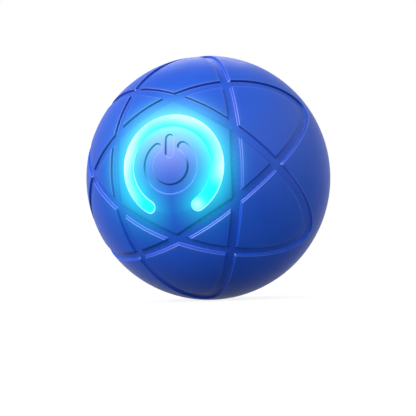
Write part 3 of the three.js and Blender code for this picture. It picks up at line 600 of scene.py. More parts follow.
def runs(places, kept):
    """The stretches of a closed line whose places are kept."""
    if kept.all():
        return [closed(places)]
    first_out = int(np.argmin(kept))
    places, kept = np.roll(places, -first_out, axis=0), np.roll(kept, -first_out)
    stretches = np.split(places, np.flatnonzero(np.diff(kept)) + 1)
    return [stretch for stretch in stretches[1::2] if len(stretch) > 1]


# Outlines across the pole's axis


def arc(radius, start, end, step):
    count = max(3, int(abs(end - start) * radius / step) + 1)
    return polar(radius, np.linspace(start, end, count))


def band_outline(radius, width, start, end, grow, step):
    """An arc-shaped band with round ends, grown outward, anticlockwise."""
    half = width / 2 + grow
    first, last = polar(radius, np.array([start, end]))
    return np.concatenate(
        [
            arc(radius + half, start, end, step)[:-1],
            (arc(half, end, end + pi, step) + last)[:-1],
            arc(radius - half, end, start, step)[:-1],
            (arc(half, start + pi, start + 2 * pi, step) + first)[:-1],
        ]
    )


def bar_outline(wide, high, grow, step):
    """A bar along X with round ends, grown outward, anticlockwise."""
    half = high / 2 + grow
    reach = np.array([(wide - high) / 2, 0])
    sides = np.linspace(0, 1, max(3, int(2 * reach[0] / step)))[1:-1, None]
    right = arc(half, -pi / 2, pi / 2, step) + reach
    left = arc(half, pi / 2, 3 * pi / 2, step) - reach
    return np.concatenate(
        [
            right,
            right[-1] + sides * (left[0] - right[-1]),
            left,
            left[-1] + sides * (right[0] - left[-1]),
        ]
    )


def band_distance(places, radius, width, start, end):
    """How far places lie outside an arc-shaped band with round ends."""
    middle = (start + end) / 2
    turn = np.arctan2(places[:, 1], places[:, 0])
    off = np.abs((turn - middle + pi) % (2 * pi) - pi)
    beside = np.abs(np.hypot(*places.T) - radius)
    tips = polar(radius, np.array([start, end]))
    to_tip = np.min([np.hypot(*(places - tip).T) for tip in tips], axis=0)
    return np.where(off <= abs(end - start) / 2, beside, to_tip) - width / 2


def bar_distance(places, wide, high):
    """How far places lie outside a bar along X with round ends."""
    reach = (wide - high) / 2
    over = np.maximum(np.abs(places[:, 0]) - reach, 0)
    return np.hypot(over, places[:, 1]) - high / 2


# Closed pieces from a triangulated face, a coarser back and the walls between them


def hexagonal_fill(reach, step, keep_out, clearance, kept=lambda grid: True):
    """Places on a triangular grid that are to be kept and lie away from the lines."""
    across = np.arange(-reach, reach + step, step)
    down = np.arange(-reach, reach + step, step * 3**0.5 / 2)
    grid = np.stack(np.meshgrid(across, down), -1)
    grid[1::2, :, 0] += step / 2
    grid = grid.reshape(-1, 2)
    grid = grid[(np.hypot(*grid.T) < reach) & kept(grid)]
    tree = KDTree(len(keep_out))
    for i, place in enumerate(keep_out):
        tree.insert((place[0], place[1], 0), i)
    tree.balance()
    return grid[[tree.find((p[0], p[1], 0))[2] > clearance for p in grid]]


def triangulated(outlines, lines, fill, inside):
    """A triangulation that follows the closed outlines and the open lines."""
    places, edges = [], []
    for line, closed in [(o, True) for o in outlines] + [(l, False) for l in lines]:
        first = len(places)
        places.extend(line)
        last = len(places) - 1
        edges += [(i, i + 1) for i in range(first, last)]
        if closed:
            edges.append((last, first))
    places.extend(fill)
    found = delaunay_2d_cdt([Vector(p) for p in places], edges, [], 0, MERGE_DISTANCE)
    points, faces = np.array([v[:] for v in found[0]]), np.array(found[2])
    faces = faces[inside(points[faces].mean(axis=1))]
    used, places_of = np.unique(faces, return_inverse=True)
    sources = [found[3][i] for i in used]
    return points[used], places_of.reshape(-1, 3), sources


def rims(faces):
    """The boundary loops of a face, each with the face on its left."""
    edges = {(int(a), int(b)) for f in faces for a, b in zip(f, np.roll(f, -1))}
    after = {a: b for a, b in edges if (b, a) not in edges}
    loops = []
    while after:
        start, here = next(iter(after.items()))
        loop = [start]
        del after[start]
        while here != start:
            loop.append(here)
            here = after.pop(here)
        loops.append(loop)
    return loops


def slopes(place, flat, small):
    """Unit normals of a surface over flat places, from small steps."""
    right = np.array([small, 0])
    across, up = (place(flat + way) - place(flat - way) for way in (right, right[::-1]))
    normal = np.cross(across, up)
    return normal / np.linalg.norm(normal, axis=1, keepdims=True)


def closed_piece(name, sheet, back_step, slope_step, faces_of, marks=None, behind=False):
    """A closed mesh between a face and its back. sheet is what triangulated() takes, faces_of
    holds the functions that place the face and the back, and marks gives the attributes of the
    face's places.

    The places are turned from the pole's frame into the part's, behind the ball if asked."""
    inside = sheet[-1]
    front_place, back_place = faces_of
    flat, faces, _ = triangulated(*sheet)
    loops = rims(faces)
    edge_places = [flat[loop] for loop in loops]
    reach = np.abs(flat).max() * BACK_MARGIN
    coarse = hexagonal_fill(reach, back_step, np.concatenate(edge_places), back_step / 2)
    back_flat, back_faces, sources = triangulated(edge_places, [], coarse, inside)
    twin = {}
    rim_order = [i for loop in loops for i in loop]
    for here, ids in enumerate(sources):
        for i in ids:
            if i < len(rim_order):
                twin[rim_order[i]] = here + len(flat)
    points = np.concatenate([front_place(flat), back_place(back_flat)])
    normals = np.concatenate(
        [slopes(front_place, flat, slope_step), -slopes(back_place, back_flat, slope_step)]
    )
    polygons = [tuple(f) for f in faces] + [tuple(f[::-1] + len(flat)) for f in back_faces]
    corner_normals = [normals[i] for f in polygons for i in f]
    for loop in loops:
        for a, b in zip(loop, loop[1:] + loop[:1]):
            wall = (twin[a], twin[b], b, a)
            polygons.append(wall)
            outward = np.cross(points[b] - points[a], points[a] - points[twin[a]])
            outward /= max(np.linalg.norm(outward), TINY)
            corner_normals += [outward] * 4
    of_face = marks(flat) if marks else {}
    values = {key: np.pad(of, (0, len(back_flat))) for key, of in of_face.items()}
    return new_object(name, points, polygons, np.array(corner_normals), values, behind)


def in_part(points, behind):
    """Turns places or directions from the pole's frame into the part's."""
    x, y, z = points.T
    return np.stack([-x, z, y], 1) if behind else np.stack([x, -z, y], 1)


def new_object(name, points, polygons, corner_normals=None, values=None, behind=False):
    """A smooth mesh with its corners' normals and its attributes, as an object of the scene."""
    mesh = bpy.data.meshes.new(name)
    mesh.from_pydata(in_part(points, behind).tolist(), [], polygons)
    mesh.polygons.foreach_set("use_smooth", [True] * len(mesh.polygons))
    for key, numbers in (values or {}).items():
        attribute = mesh.attributes.new(key, "FLOAT", "POINT")
        attribute.data.foreach_set("value", numbers.astype(np.float32))
    if corner_normals is not None:
        mesh.normals_split_custom_set(in_part(corner_normals, behind).tolist())
    piece = bpy.data.objects.new(name, mesh)
    bpy.context.scene.collection.objects.link(piece)
    return piece


def turned_piece(name, profile):
    """A closed turned piece from a profile of distances from the axis and heights."""
    count = len(profile)
    points, polygons = [], []
    for turn in np.linspace(0, 2 * pi, TURNED_SIDES, endpoint=False):
        points += [(r * np.cos(turn), r * np.sin(turn), h) for r, h in profile]
    for i in range(TURNED_SIDES):
        here, there = i * count, (i + 1) % TURNED_SIDES * count
        for j in range(count):
            after = (j + 1) % count
            polygons.append((here + j, there + j, there + after, here + after))
    piece = new_object(name, np.array(points), polygons)
    piece.modifiers.new("Weld", "WELD").merge_threshold = MERGE_DISTANCE
    return piece


def dress(piece, body, slot, material, *nodes):
    """Gives a new piece its material and its body, and hides the nodes that it replaces. The slot is
    not used.
    """
    piece.data.materials.append(bpy.data.materials[material])
    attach(piece, body)
    if nodes:
        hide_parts(*nodes)


# Places of the outer pieces


def on_ball(flat, distance):
    """Places at a distance from the ball's middle, from flat places in angles."""
    from_pole = np.hypot(*flat.T)
    across = (distance * np.sinc(from_pole / pi))[:, None] * flat
    return np.column_stack([across, distance * np.cos(from_pole)])


def across_axis(places):
    """Flat places in angles of places across the axis, given in metres."""
    off = lengths(places)
    return places * (np.arcsin(np.minimum(off / BALL_RADIUS, 1)) / off)[:, None]


def dome_height(places, radius):
    return np.sqrt(np.maximum(radius**2 - (places**2).sum(axis=1), 0))


def on_dome(radius):
    """A function that lays places across the axis on a dome."""
    return lambda places: np.column_stack([places, dome_height(places, radius)])


def on_level(height):
    """A function that lays places across the axis on a level face."""
    return lambda places: np.column_stack([places, np.full(len(places), height)])


def back_of_cover(flat, radius):
    """The cover's inner face, whose rim lies straight behind the rim of the key's opening."""
    from_pole = lengths(flat)
    straight = np.arcsin(np.minimum(np.sin(from_pole) * BALL_RADIUS / radius, 1))
    near_pole = 1 - ramp(from_pole, STRAIGHT_WITHIN, ROUND_BEYOND)
    moved = from_pole + near_pole * (straight - from_pole)
    return on_ball(flat * (moved / from_pole)[:, None], radius)


# Painted light and shade on the silicone, kept as weights on the mesh


def seeping_light(places, key):
    """How much of the ring's light a place across the axis shows, painted on the skin as a glow."""
    away = np.maximum(band_distance(places, *ring_shape(key)), 0)
    from_axis = lengths(places)
    inward = from_axis < key.ring_radius
    left, up = -places[:, 0] / from_axis, places[:, 1] / from_axis
    left = np.where(inward, np.clip(left, 0, 1), left)

    def by_side(pair):
        return np.where(inward, *pair)

    near = by_side(GLOW_NEAR) + by_side(GLOW_NEAR_LEFT) * left
    far = by_side(GLOW_FAR) + by_side(GLOW_FAR_LEFT) * left
    gain = by_side(GLOW_STRENGTH_LEFT) * left + by_side(GLOW_STRENGTH_TOP) * np.clip(up, 0, 1)
    lower = 1 - GLOW_LOST_BELOW * ramp(-up, *GLOW_FADES_BELOW)
    return (by_side(GLOW_STRENGTH) + gain) * lower * np.exp(-away / near - (away / far) ** 2)


def washed_light(places):
    """The painted highlight on and above the key's face, at places across the axis."""
    return bell(places - HIGHLIGHT_AT, HIGHLIGHT_SIZE).prod(axis=1)


def skin_painted_sheen(places):
    """A painted sheen, a pale haze on the silicone, most of it round the upper right."""
    rise = SHEEN_LEAST + (1 - SHEEN_LEAST) * ramp(places[:, 0], *SHEEN_BETWEEN)
    return bell(places[:, 1] - SHEEN_AT, SHEEN_HIGH) * rise


def wall_light(height, places, step, scale):
    """1 on walls that face the light, -1 on walls turned from it and 0 off the walls. height
    gives the metres above the wall's foot, and scale the metres of one unit of the places."""
    slope = fall(height, places, step) / (step * scale)
    steep = lengths(slope)
    toward_light = slope @ LIGHT_ACROSS / steep
    side = np.clip(LIGHT_CONTRAST * (toward_light + LIGHT_LEAN), -1, 1)
    return np.clip(steep / WALL_SLOPE, 0, 1) * side


def key_gap_shade(places, cover, key, skin):
    """The painted shade in the gap round the key, deepest at its lower right."""
    edge = inside_key(places, cover, key) + key.gap / 2
    off_light = GAP_SHADE_DARKNESS - GAP_SHADE_SWING * (places @ LIGHT_ACROSS) / lengths(places)
    return skin.key_line * off_light * bell(edge, skin.key_line_width)


def skin_marks(shine, light, places, key, loss, front=True):
    """The attributes that the silicone reads, all painted light and shade: shine is the painted
    highlight on the edges, light what wall_light() says less the groove's painted shade, and loss
    the seeping light that shaded walls lose."""
    shade = np.clip(-light, 0, 1)
    return {
        "edge_shine": shine,
        "seeping": seeping_light(places, key) * (1 - loss * shade) * front,
        "wash": washed_light(places) * (1 - shade) * front,
        "shade": shade,
        "lit": np.clip(light, 0, 1),
        "bloom": skin_painted_sheen(places * (1 if front else -1, 1)),
    }


def ring_shape(key):
    """What band_distance() takes for the light ring."""
    start, end = key.ring_half_gap - pi / 2, 3 * pi / 2 - key.ring_half_gap
    return key.ring_radius, key.ring_width, start, end


def symbol_shape(key):
    """The same for the symbol's ring."""
    start, end = pi / 2 + key.symbol_half_gap - 2 * pi, pi / 2 - key.symbol_half_gap
    return key.symbol_radius, key.symbol_width, start, end


# Materials


def new_material(name):
    material = bpy.data.materials.new(name)
    material.use_nodes = True
    tree = material.node_tree
    tree.nodes.clear()
    return material, tree


def node(tree, kind, options=None, **inputs):
    """A shader node with its options set, and its inputs set or linked. An input's name has
    lines for spaces, or a line and its number."""
    made = tree.nodes.new(kind)
    for key, value in (options or {}).items():
        setattr(made, key, value)
    for key, value in inputs.items():
        socket = made.inputs[int(key[1:]) if key[1:].isdigit() else key.replace("_", " ")]
        if isinstance(value, bpy.types.NodeSocket):
            tree.links.new(value, socket)
        elif socket.type == "RGBA":
            socket.default_value = (*value[:3], 1)
        else:
            socket.default_value = value
    return made


def mixed(tree, factor, first, second, blend="MIX"):
    """A colour mixed from two, each a colour or a socket."""
    options = {"data_type": "RGBA", "blend_type": blend}
    return node(tree, "ShaderNodeMix", options, _0=factor, _6=first, _7=second).outputs[2]


def own_places(tree):
    """The piece's own coordinates."""
    return node(tree, "ShaderNodeTexCoord").outputs["Object"]


def noise(tree, scale, detail=2.0, roughness=0.5, stretch=(1, 1, 1)):
    """Noise over the piece's own coordinates, at a scale in turns per metre."""
    mapped = node(tree, "ShaderNodeMapping", Vector=own_places(tree), Scale=stretch)
    return node(
        tree,
        "ShaderNodeTexNoise",
        Vector=mapped.outputs[0],
        Scale=scale,
        Detail=detail,
        Roughness=roughness,
    ).outputs["Fac"]


def spread(tree, value, low, high, to_low, to_high):
    """A value carried from one range to another, and held inside it."""
    return node(
        tree,
        "ShaderNodeMapRange",
        Value=value,
        From_Min=low,
        From_Max=high,
        To_Min=to_low,
        To_Max=to_high,
    ).outputs[0]


def cloudy(tree, scale):
    """Soft clouds from 0 to 1."""
    return spread(tree, noise(tree, scale, 3), *CLOUD_RANGE, 0, 1)


def wandering(tree, value, low, high):
    """A noise carried to between two values."""
    return spread(tree, value, *NOISE_RANGE, low, high)


def bumps(tree, height, strength, distance):
    return node(tree, "ShaderNodeBump", Height=height, Strength=strength, Distance=distance).outputs[0]


def principled(material, **inputs):
    """Gives a material its shader with these inputs."""
    shader = node(material.node_tree, "ShaderNodeBsdfPrincipled", **inputs)
    node(material.node_tree, "ShaderNodeOutputMaterial", Surface=shader.outputs[0])
    return material


def attribute(tree, name):
    return node(tree, "ShaderNodeAttribute", {"attribute_name": name}).outputs["Fac"]


def silicone(skin):
    """Satin silicone: faint clouds, a fine moulded grain, painted highlights on the rounded edges and
    above the key, painted sheen, painted light and shade on the walls, and seeping light painted as a
    glow.
    """
    material, tree = new_material("satin_silicone")
    base = mixed(tree, cloudy(tree, 140), skin.deep_blue, skin.blue)
    # Painted sheen, painted shade, painted light and painted highlights laid over the skin's own
    # colour
    layers = (
        ("bloom", skin.painted_sheen_share, skin.bloom),
        ("shade", skin.shaded_share, skin.painted_shade_blue),
        ("lit", skin.lit_share, skin.painted_light_blue),
        ("edge_shine", skin.shine_share, skin.edge_highlight_blue),
    )
    for name, most, tone in layers:
        base = mixed(tree, spread(tree, attribute(tree, name), 0, 1, 0, most), base, tone)
    # The ring's light painted on the skin as a glow
    light = attribute(tree, "seeping")
    seeping = mixed(tree, light, (0, 0, 0), mixed(tree, light, skin.far_glow, skin.glow))
    # The painted highlight above the symbol, laid on as emission
    wash = mixed(tree, attribute(tree, "wash"), (0, 0, 0), skin.wash)
    return principled(
        material,
        Specular_IOR_Level=0.03,
        Emission_Strength=1.0,
        Sheen_Weight=0.04,
        Base_Color=base,
        Roughness=wandering(tree, noise(tree, 900), 0.34, 0.40),
        Normal=bumps(tree, noise(tree, 5200), 0.05, 0.00002),
        Emission_Color=mixed(tree, 1.0, seeping, wash, "ADD"),
    )


def glowing_lens(skin):
    """Milky light guide: saturated in the middle, burnt out towards its bright rims, and paler along
    its edge by a painted highlight.
    """
    material, tree = new_material("milky_light_guide")
    pale = attribute(tree, "pale")
    body = mixed(tree, pale, skin.lens_cyan, skin.lens_pale)
    haze = wandering(tree, noise(tree, 700), 0.94, 1.0)
    light = mixed(tree, 1.0, body, haze, "MULTIPLY")
    base = mixed(tree, pale, (0.015, 0.3, 0.33), (0.1, 0.4, 0.42))
    return principled(
        material,
        Specular_IOR_Level=0.1,
        Emission_Strength=1.0,
        Base_Color=base,
        Roughness=wandering(tree, noise(tree, 2500), 0.25, 0.4),
        Emission_Color=light,
    )


def moulded_plastic(name, pale, dark, rough):
    """Injection moulded plastic with a fine spark-eroded grain and faint flow clouds."""
    material, tree = new_material(name)
    return principled(
        material,
        Specular_IOR_Level=0.45,
        Base_Color=mixed(tree, cloudy(tree, 120), pale, dark),
        Roughness=wandering(tree, noise(tree, 1600), rough - 0.06, rough + 0.08),
        Normal=bumps(tree, noise(tree, 7000), 0.25, 0.00002),
    )


def soft_rubber(name, pale, dark):
    """Matt rubber or foam with open pores."""
    material, tree = new_material(name)
    cells = node(tree, "ShaderNodeTexVoronoi", Vector=own_places(tree), Scale=2600)
    pores = cells.outputs["Distance"]
    return principled(
        material,
        Specular_IOR_Level=0.25,
        Base_Color=mixed(tree, pores, dark, pale),
        Roughness=spread(tree, pores, 0, 1, 0.75, 0.95),
        Normal=bumps(tree, pores, 0.4, 0.00006),
    )


def worked_metal(name, pale, dark, rough, stretch):
    """Drawn, turned or cast metal: streaks along the way that it was worked."""
    material, tree = new_material(name)
    streaks = noise(tree, 900, 3, 0.6, stretch)
    tone = mixed(tree, wandering(tree, noise(tree, 200, 3), 0, 1), pale, dark)
    return principled(
        material,
        Metallic=1.0,
        Base_Color=mixed(tree, wandering(tree, streaks, 0, 0.5), tone, dark),
        Roughness=wandering(tree, streaks, rough - 0.08, rough + 0.12),
        Normal=bumps(tree, streaks, 0.12, 0.00003),
    )


def circuit_board(name):
    """Green solder mask with copper tracks that show through it."""
    material, tree = new_material(name)
    cells = node(
        tree,
        "ShaderNodeTexVoronoi",
        {"distance": "CHEBYCHEV", "feature": "F1"},
        Vector=own_places(tree),
        Scale=520,
        Randomness=0.85,
    )
    tracks = spread(tree, cells.outputs["Distance"], 0.36, 0.4, 0, 1)
    mask = mixed(tree, noise(tree, 900), (0.008, 0.09, 0.035), (0.012, 0.13, 0.05))
    return principled(
        material,
        Specular_IOR_Level=0.5,
        Coat_Weight=0.3,
        Coat_Roughness=0.2,
        Base_Color=mixed(tree, tracks, mask, (0.05, 0.26, 0.09)),
        Roughness=wandering(tree, noise(tree, 3000), 0.3, 0.45),
        Normal=bumps(tree, tracks, 0.5, 0.00004),
    )


def phosphor_lamp():
    """A lamp's yellow phosphor dot in its clear package."""
    material, tree = new_material("lamp_phosphor")
    grains = noise(tree, 6000)
    return principled(
        material,
        Specular_IOR_Level=0.5,
        Coat_Weight=0.6,
        Coat_Roughness=0.08,
        Base_Color=mixed(tree, grains, (0.88, 0.72, 0.24), (0.95, 0.9, 0.7)),
        Roughness=wandering(tree, grains, 0.2, 0.35),
    )


def cell_foil():
    """The pouch cell's crinkled silver foil."""
    material, tree = new_material("pouch_cell_foil")
    folds = noise(tree, 420, 4, 0.65, (1, 1, 0.3))
    return principled(
        material,
        Metallic=0.75,
        Base_Color=mixed(tree, folds, (0.52, 0.55, 0.6), (0.8, 0.82, 0.85)),
        Roughness=wandering(tree, folds, 0.28, 0.48),
        Normal=bumps(tree, folds, 0.6, 0.00015),
    )


def flat_cable():
    """White flat cable with its conductors as fine ribs."""
    material, tree = new_material("flat_cable")
    ribs = node(
        tree,
        "ShaderNodeTexWave",
        {"wave_type": "BANDS", "bands_direction": "X"},
        Vector=own_places(tree),
        Scale=250,
        Distortion=0.0,
    ).outputs["Fac"]
    return principled(
        material,
        Specular_IOR_Level=0.4,
        Base_Color=mixed(tree, ribs, (0.62, 0.6, 0.55), (0.86, 0.85, 0.8)),
        Roughness=spread(tree, ribs, 0, 1, 0.4, 0.55),
        Normal=bumps(tree, ribs, 0.5, 0.00008),
    )


# Operators


class CATBALL_OT_front_cover(bpy.types.Operator):
    """Build the front half cover, whose hexagonal opening holds the power key"""

    bl_idname = "catball.front_cover"
    bl_label = "Front Cover"
    bl_options = {"REGISTER", "UNDO"}

    def execute(self, context):
        cover_piece(context.scene, "front_cover", True)
        return {"FINISHED"}


class CATBALL_OT_rear_cover(bpy.types.Operator):
    """Build the rear half cover, whose hexagon is closed but for the plug's hole"""

    bl_idname = "catball.rear_cover"
    bl_label = "Rear Cover"
    bl_options = {"REGISTER", "UNDO"}

    def execute(self, context):
        cover_piece(context.scene, "rear_cover", False)
        return {"FINISHED"}


def cover_fill(cover, occupied):
    """Flat places that fill the cover between its lines, closest where two channels cross."""
    fine, coarse = cover.crossing_step / BALL_RADIUS, cover.fill_step / BALL_RADIUS

    def at_crossing(flat):
        return crossing_distance(flat, cover) < cover.fill_step

    clear = fine * COVER_CLEARANCE
    near = hexagonal_fill(pi / 2 - fine, fine, occupied, clear, at_crossing)
    occupied = np.concatenate([occupied, near])
    clear = coarse * COVER_CLEARANCE
    others = hexagonal_fill(pi / 2 - coarse / 2, coarse, occupied, clear)
    return np.concatenate([near, others])


def cover_piece(scene, node_name, front):
    """A half cover with its channels, in place of its node. The front one is open for the key,
    the rear one for the plug."""
    cover, key, skin = scene.cat_ball_cover, scene.cat_ball_key, scene.cat_ball_skin
    if front:
        opening = key_outline(key.gap, cover, key)
    else:
        opening = bar_outline(*PLUG_SIZE, key.gap, cover.line_step)
    equator = polar(pi / 2, np.linspace(0, 2 * pi, EQUATOR_POINTS, endpoint=False))
    outlines = [equator, across_axis(opening)]
    lines = channel_lines(cover, front)
    fill = cover_fill(cover, np.concatenate(lines + outlines))

    def inside(flat):
        places = on_ball(flat, BALL_RADIUS)[:, :2]
        if front:
            past_rim = -inside_key(places, cover, key)
        else:
            past_rim = bar_distance(places, *PLUG_SIZE)
        return (np.hypot(*flat.T) < pi / 2) & (past_rim > key.gap)

    def face(flat):
        return cover_face(flat, cover, front)

    def outer_place(flat):
        return on_ball(flat, face(flat))

    def inner_place(flat):
        return back_of_cover(flat, cover.inner_radius)

    def marks(flat):
        places = on_ball(flat, BALL_RADIUS)[:, :2]
        # Painted shade in the gap round the key
        groove = key_gap_shade(places, cover, key, skin) * front
        # Painted light and painted shade on the channels' walls, by how they face the light
        light = wall_light(face, flat, ANGLE_STEP, BALL_RADIUS) - groove
        # Painted highlight on the channels' rounded edges
        shine = edge_shine(flat, cover, front)
        return skin_marks(shine, light, places, key, skin.wall_shade, front)

    sheet = (outlines, lines, fill, inside)
    both = (outer_place, inner_place)
    back_step = cover.back_step / BALL_RADIUS
    name = node_name + "_skin"
    piece = closed_piece(name, sheet, back_step, ANGLE_STEP, both, marks, not front)
    dress(piece, "case", "silicone_blue", "satin_silicone", node_name)


class CATBALL_OT_power_key(bpy.types.Operator):
    """Build the hexagonal power key with the slot for its light ring and its engraved symbol"""

    bl_idname = "catball.power_key"
    bl_label = "Power Key"
    bl_options = {"REGISTER", "UNDO"}

    def execute(self, context):
        cover, key = context.scene.cat_ball_cover, context.scene.cat_ball_key
        face = key_face(cover, key, context.scene.cat_ball_skin)
        dress(face, "power_button", "silicone_blue", "satin_silicone", "button_panel")
        carriers = (
            key_skirt(cover, key),
            turned_piece("power_key_flange", key_flange(key)),
            turned_piece("power_key_stem", key_stem(key)),
        )
        for piece in carriers:
            dress(piece, "power_button", "silicone_blue", "satin_silicone")
        return {"FINISHED"}


def key_flange(key):
    """The flange that holds the key behind the cover."""
    inner, top = KEY_FLANGE_RADIUS - key.flange_reach, KEY_FLANGE_BOTTOM + key.flange
    corner = key.round_edge
    return [
        (inner, KEY_FLANGE_BOTTOM),
        (KEY_FLANGE_RADIUS - corner, KEY_FLANGE_BOTTOM),
        (KEY_FLANGE_RADIUS, KEY_FLANGE_BOTTOM + corner),
        (KEY_FLANGE_RADIUS, top - corner),
        (KEY_FLANGE_RADIUS - corner, top),
        (inner, top),
    ]


def key_stem(key):
    """The stem that presses the switch, with a rounded tip."""
    radius, corner = key.stem_radius, key.round_edge
    top = PANEL_RADIUS - key.wall - corner
    return [
        (0, STEM_BOTTOM),
        (radius - corner, STEM_BOTTOM),
        (radius, STEM_BOTTOM + corner),
        (radius, top),
        (0, top),
    ]


def key_skirt(cover, key):
    """The skirt that carries the key's face on its flange."""
    outlines = [key_outline(-inward, cover, key) for inward in (0, key.skirt)]

    def inside(places):
        inward = inside_key(places, cover, key)
        return (inward > 0) & (inward < key.skirt)

    sheet = (outlines, (), (), inside)
    both = (on_dome(PANEL_RADIUS - key.wall), on_level(KEY_FLANGE_BOTTOM))
    return closed_piece("power_key_skirt", sheet, cover.back_step, PLACE_STEP, both)


def key_face(cover, key, skin):
    """The key's domed face with its slot, its engraved symbol and its rounded rims."""
    step = cover.line_step
    rim = key_outline(0, cover, key)
    ring, symbol = ring_shape(key), symbol_shape(key)
    slot = band_outline(*ring, key.lens_gap, step)
    bar = (key.bar_top - key.bar_bottom, key.bar_width)
    bar_middle = np.array([0, (key.bar_top + key.bar_bottom) / 2])
    lines = [closed(key_outline(-inward, cover, key)) for inward in key.round_edge * ROUND_ROWS]
    for grow in np.linspace(-ENGRAVED_ROWS, ENGRAVED_ROWS, WALL_ROWS) * key.engraved_wall:
        upright = bar_outline(*bar, grow, step / 2)[:, ::-1] * (-1, 1) + bar_middle
        lines += [closed(band_outline(*symbol, grow, step / 2)), closed(upright)]
    occupied = np.concatenate(lines + [rim, slot])
    fill = hexagonal_fill(np.abs(rim).max(), key.fill_step, occupied, key.fill_step / 2)

    def symbol_distance(places):
        upright = (places - bar_middle)[:, ::-1]
        return np.minimum(band_distance(places, *symbol), bar_distance(upright, *bar))

    def inside(places):
        past_slot = band_distance(places, *ring) - key.lens_gap
        return (inside_key(places, cover, key) > 0) & (past_slot > 0)

    def symbol_height(places):
        into_symbol = -symbol_distance(places) / key.engraved_wall
        return -key.symbol_depth * smooth(into_symbol + 0.5)

    def face_place(places):
        sunk = rounding(inside_key(places, cover, key), key.round_edge)
        sunk = np.maximum(sunk, -symbol_height(places))
        return np.column_stack([places, dome_height(places, PANEL_RADIUS) - sunk])

    def marks(places):
        # Painted shade in the gap round the key
        groove = key_gap_shade(places, cover, key, skin)
        # Painted light and painted shade on the symbol's walls, by how they face the light
        light = wall_light(symbol_height, places, PLACE_STEP, 1) - groove
        # Painted highlight on the symbol's walls that face the light
        beyond = symbol_distance(places) / key.engraved_wall
        shine = skin.symbol_shine * bell(beyond, SYMBOL_LINE) * np.clip(light, 0, 1)
        return skin_marks(shine, light, places, key, skin.symbol_shade)

    sheet = ([rim, slot], lines, fill, inside)
    both = (face_place, on_dome(PANEL_RADIUS - key.wall))
    return closed_piece("power_key_face", sheet, cover.back_step / 2, PLACE_STEP, both, marks)


def rounding(inward, radius):
    """How far a rounded edge lies below its face, at a distance inward from the rim."""
    left = np.clip(radius - inward, 0, radius)
    return radius - np.sqrt(np.maximum(radius**2 - left**2, 0))


class CATBALL_OT_light_ring(bpy.types.Operator):
    """Build the C-shaped light guide that fills the key's slot"""

    bl_idname = "catball.light_ring"
    bl_label = "Light Ring"
    bl_options = {"REGISTER", "UNDO"}

    def execute(self, context):
        cover, key = context.scene.cat_ball_cover, context.scene.cat_ball_key
        step, ring = cover.line_step, ring_shape(key)
        levels = -key.round_edge * LENS_ROWS
        rim = band_outline(*ring, 0, step)
        lines = [closed(band_outline(*ring, level, step)) for level in levels]
        lines.append(arc(key.ring_radius, *ring[2:], step))

        def inside(places):
            return band_distance(places, *ring) < 0

        def lens_place(places):
            inward = -band_distance(places, *ring)
            crown = key.ring_crown * smooth(inward / key.ring_width * 2)
            sunk = rounding(inward, key.round_edge)
            height = dome_height(places, PANEL_RADIUS) - sunk + crown
            return np.column_stack([places, height])

        def marks(places):
            return {"pale": burn_and_edge_highlight(places, key)}

        sheet = ([rim], lines, (), inside)
        both = (lens_place, on_level(LENS_BOTTOM))
        piece = closed_piece("light_ring", sheet, cover.back_step / 3, PLACE_STEP, both, marks)
        dress(piece, "power_button", "glow_lens", "milky_light_guide", "ring_lens")
        return {"FINISHED"}


def burn_and_edge_highlight(places, key):
    """How far the lamps burn the lens out to white, along the outer rim of its upper part and most
    next to a lamp and at the right tip, and a painted highlight as a fine line along its edge."""
    ring = ring_shape(key)
    outward = (np.hypot(*places.T) - key.ring_radius) / key.ring_width + 0.5
    turn = np.arctan2(places[:, 1], places[:, 0])
    left = np.clip(-np.cos(turn), 0, 1)
    upper = ramp(np.sin(turn) + BURN_LOWER_LEFT * left, *BURN_BETWEEN)
    at_lamp = np.cos(BURN_TURNS * (turn - BURN_TURN))
    strength = (BURN_STRENGTH + BURN_SWING * at_lamp) * upper
    power = BURN_POWER - BURN_POWER_LEFT * left - BURN_POWER_SWING * at_lamp
    rim = strength * np.clip(outward, 0, 1) ** power
    tip = polar(key.ring_radius, np.array([ring[2]]))[0]
    spot = TIP_BURN * bell(np.hypot(*(places - tip).T), TIP_RADIUS)
    inner = ramp(np.cos(turn - INNER_LINE_TURN), *INNER_LINE_BETWEEN)
    inner = INNER_LINE_LEAST + (1 - INNER_LINE_LEAST) * inner
    # Painted highlight along the lens's edge
    on_line = EDGE_HIGHLIGHT * np.where(outward > 0.5, 1, inner)
    line = on_line * bell(band_distance(places, *ring), EDGE_HIGHLIGHT_WIDTH)
    return np.clip(np.maximum.reduce([rim, spot, line]), 0, 1)


class CATBALL_OT_charge_plug(bpy.types.Operator):
    """Build the soft plug that closes the charging port, with its notch for a fingernail"""

    bl_idname = "catball.charge_plug"
    bl_label = "Charging Plug"
    bl_options = {"REGISTER", "UNDO"}

    def execute(self, context):
        cover, key = context.scene.cat_ball_cover, context.scene.cat_ball_key
        step = cover.line_step
        levels = -key.round_edge * ROUND_ROWS
        rim = bar_outline(*PLUG_SIZE, 0, step)
        lines = [closed(bar_outline(*PLUG_SIZE, level, step)) for level in levels]
        end = np.array([-PLUG_SIZE[0] / 2, 0])
        fill = hexagonal_fill(-end[0], step, np.concatenate(lines + [rim]), step / 2)

        def inside(places):
            return bar_distance(places, *PLUG_SIZE) < 0

        def plug_place(places):
            sunk = rounding(-bar_distance(places, *PLUG_SIZE), key.round_edge)
            into_notch = key.notch_radius - np.hypot(*(places - end).T)
            dip = key.notch_depth * smooth(into_notch / key.notch_wall + 0.5)
            height = dome_height(places, PANEL_RADIUS) - np.maximum(sunk, dip)
            return np.column_stack([places, height])

        sheet = ([rim], lines, fill, inside)
        both = (plug_place, on_level(PLUG_BOTTOM))
        back_step = cover.back_step / 3
        piece = closed_piece("charging_plug", sheet, back_step, PLACE_STEP, both, behind=True)
        dress(piece, "charge_plug", "silicone_blue", "satin_silicone", "charge_port_plug")
        return {"FINISHED"}


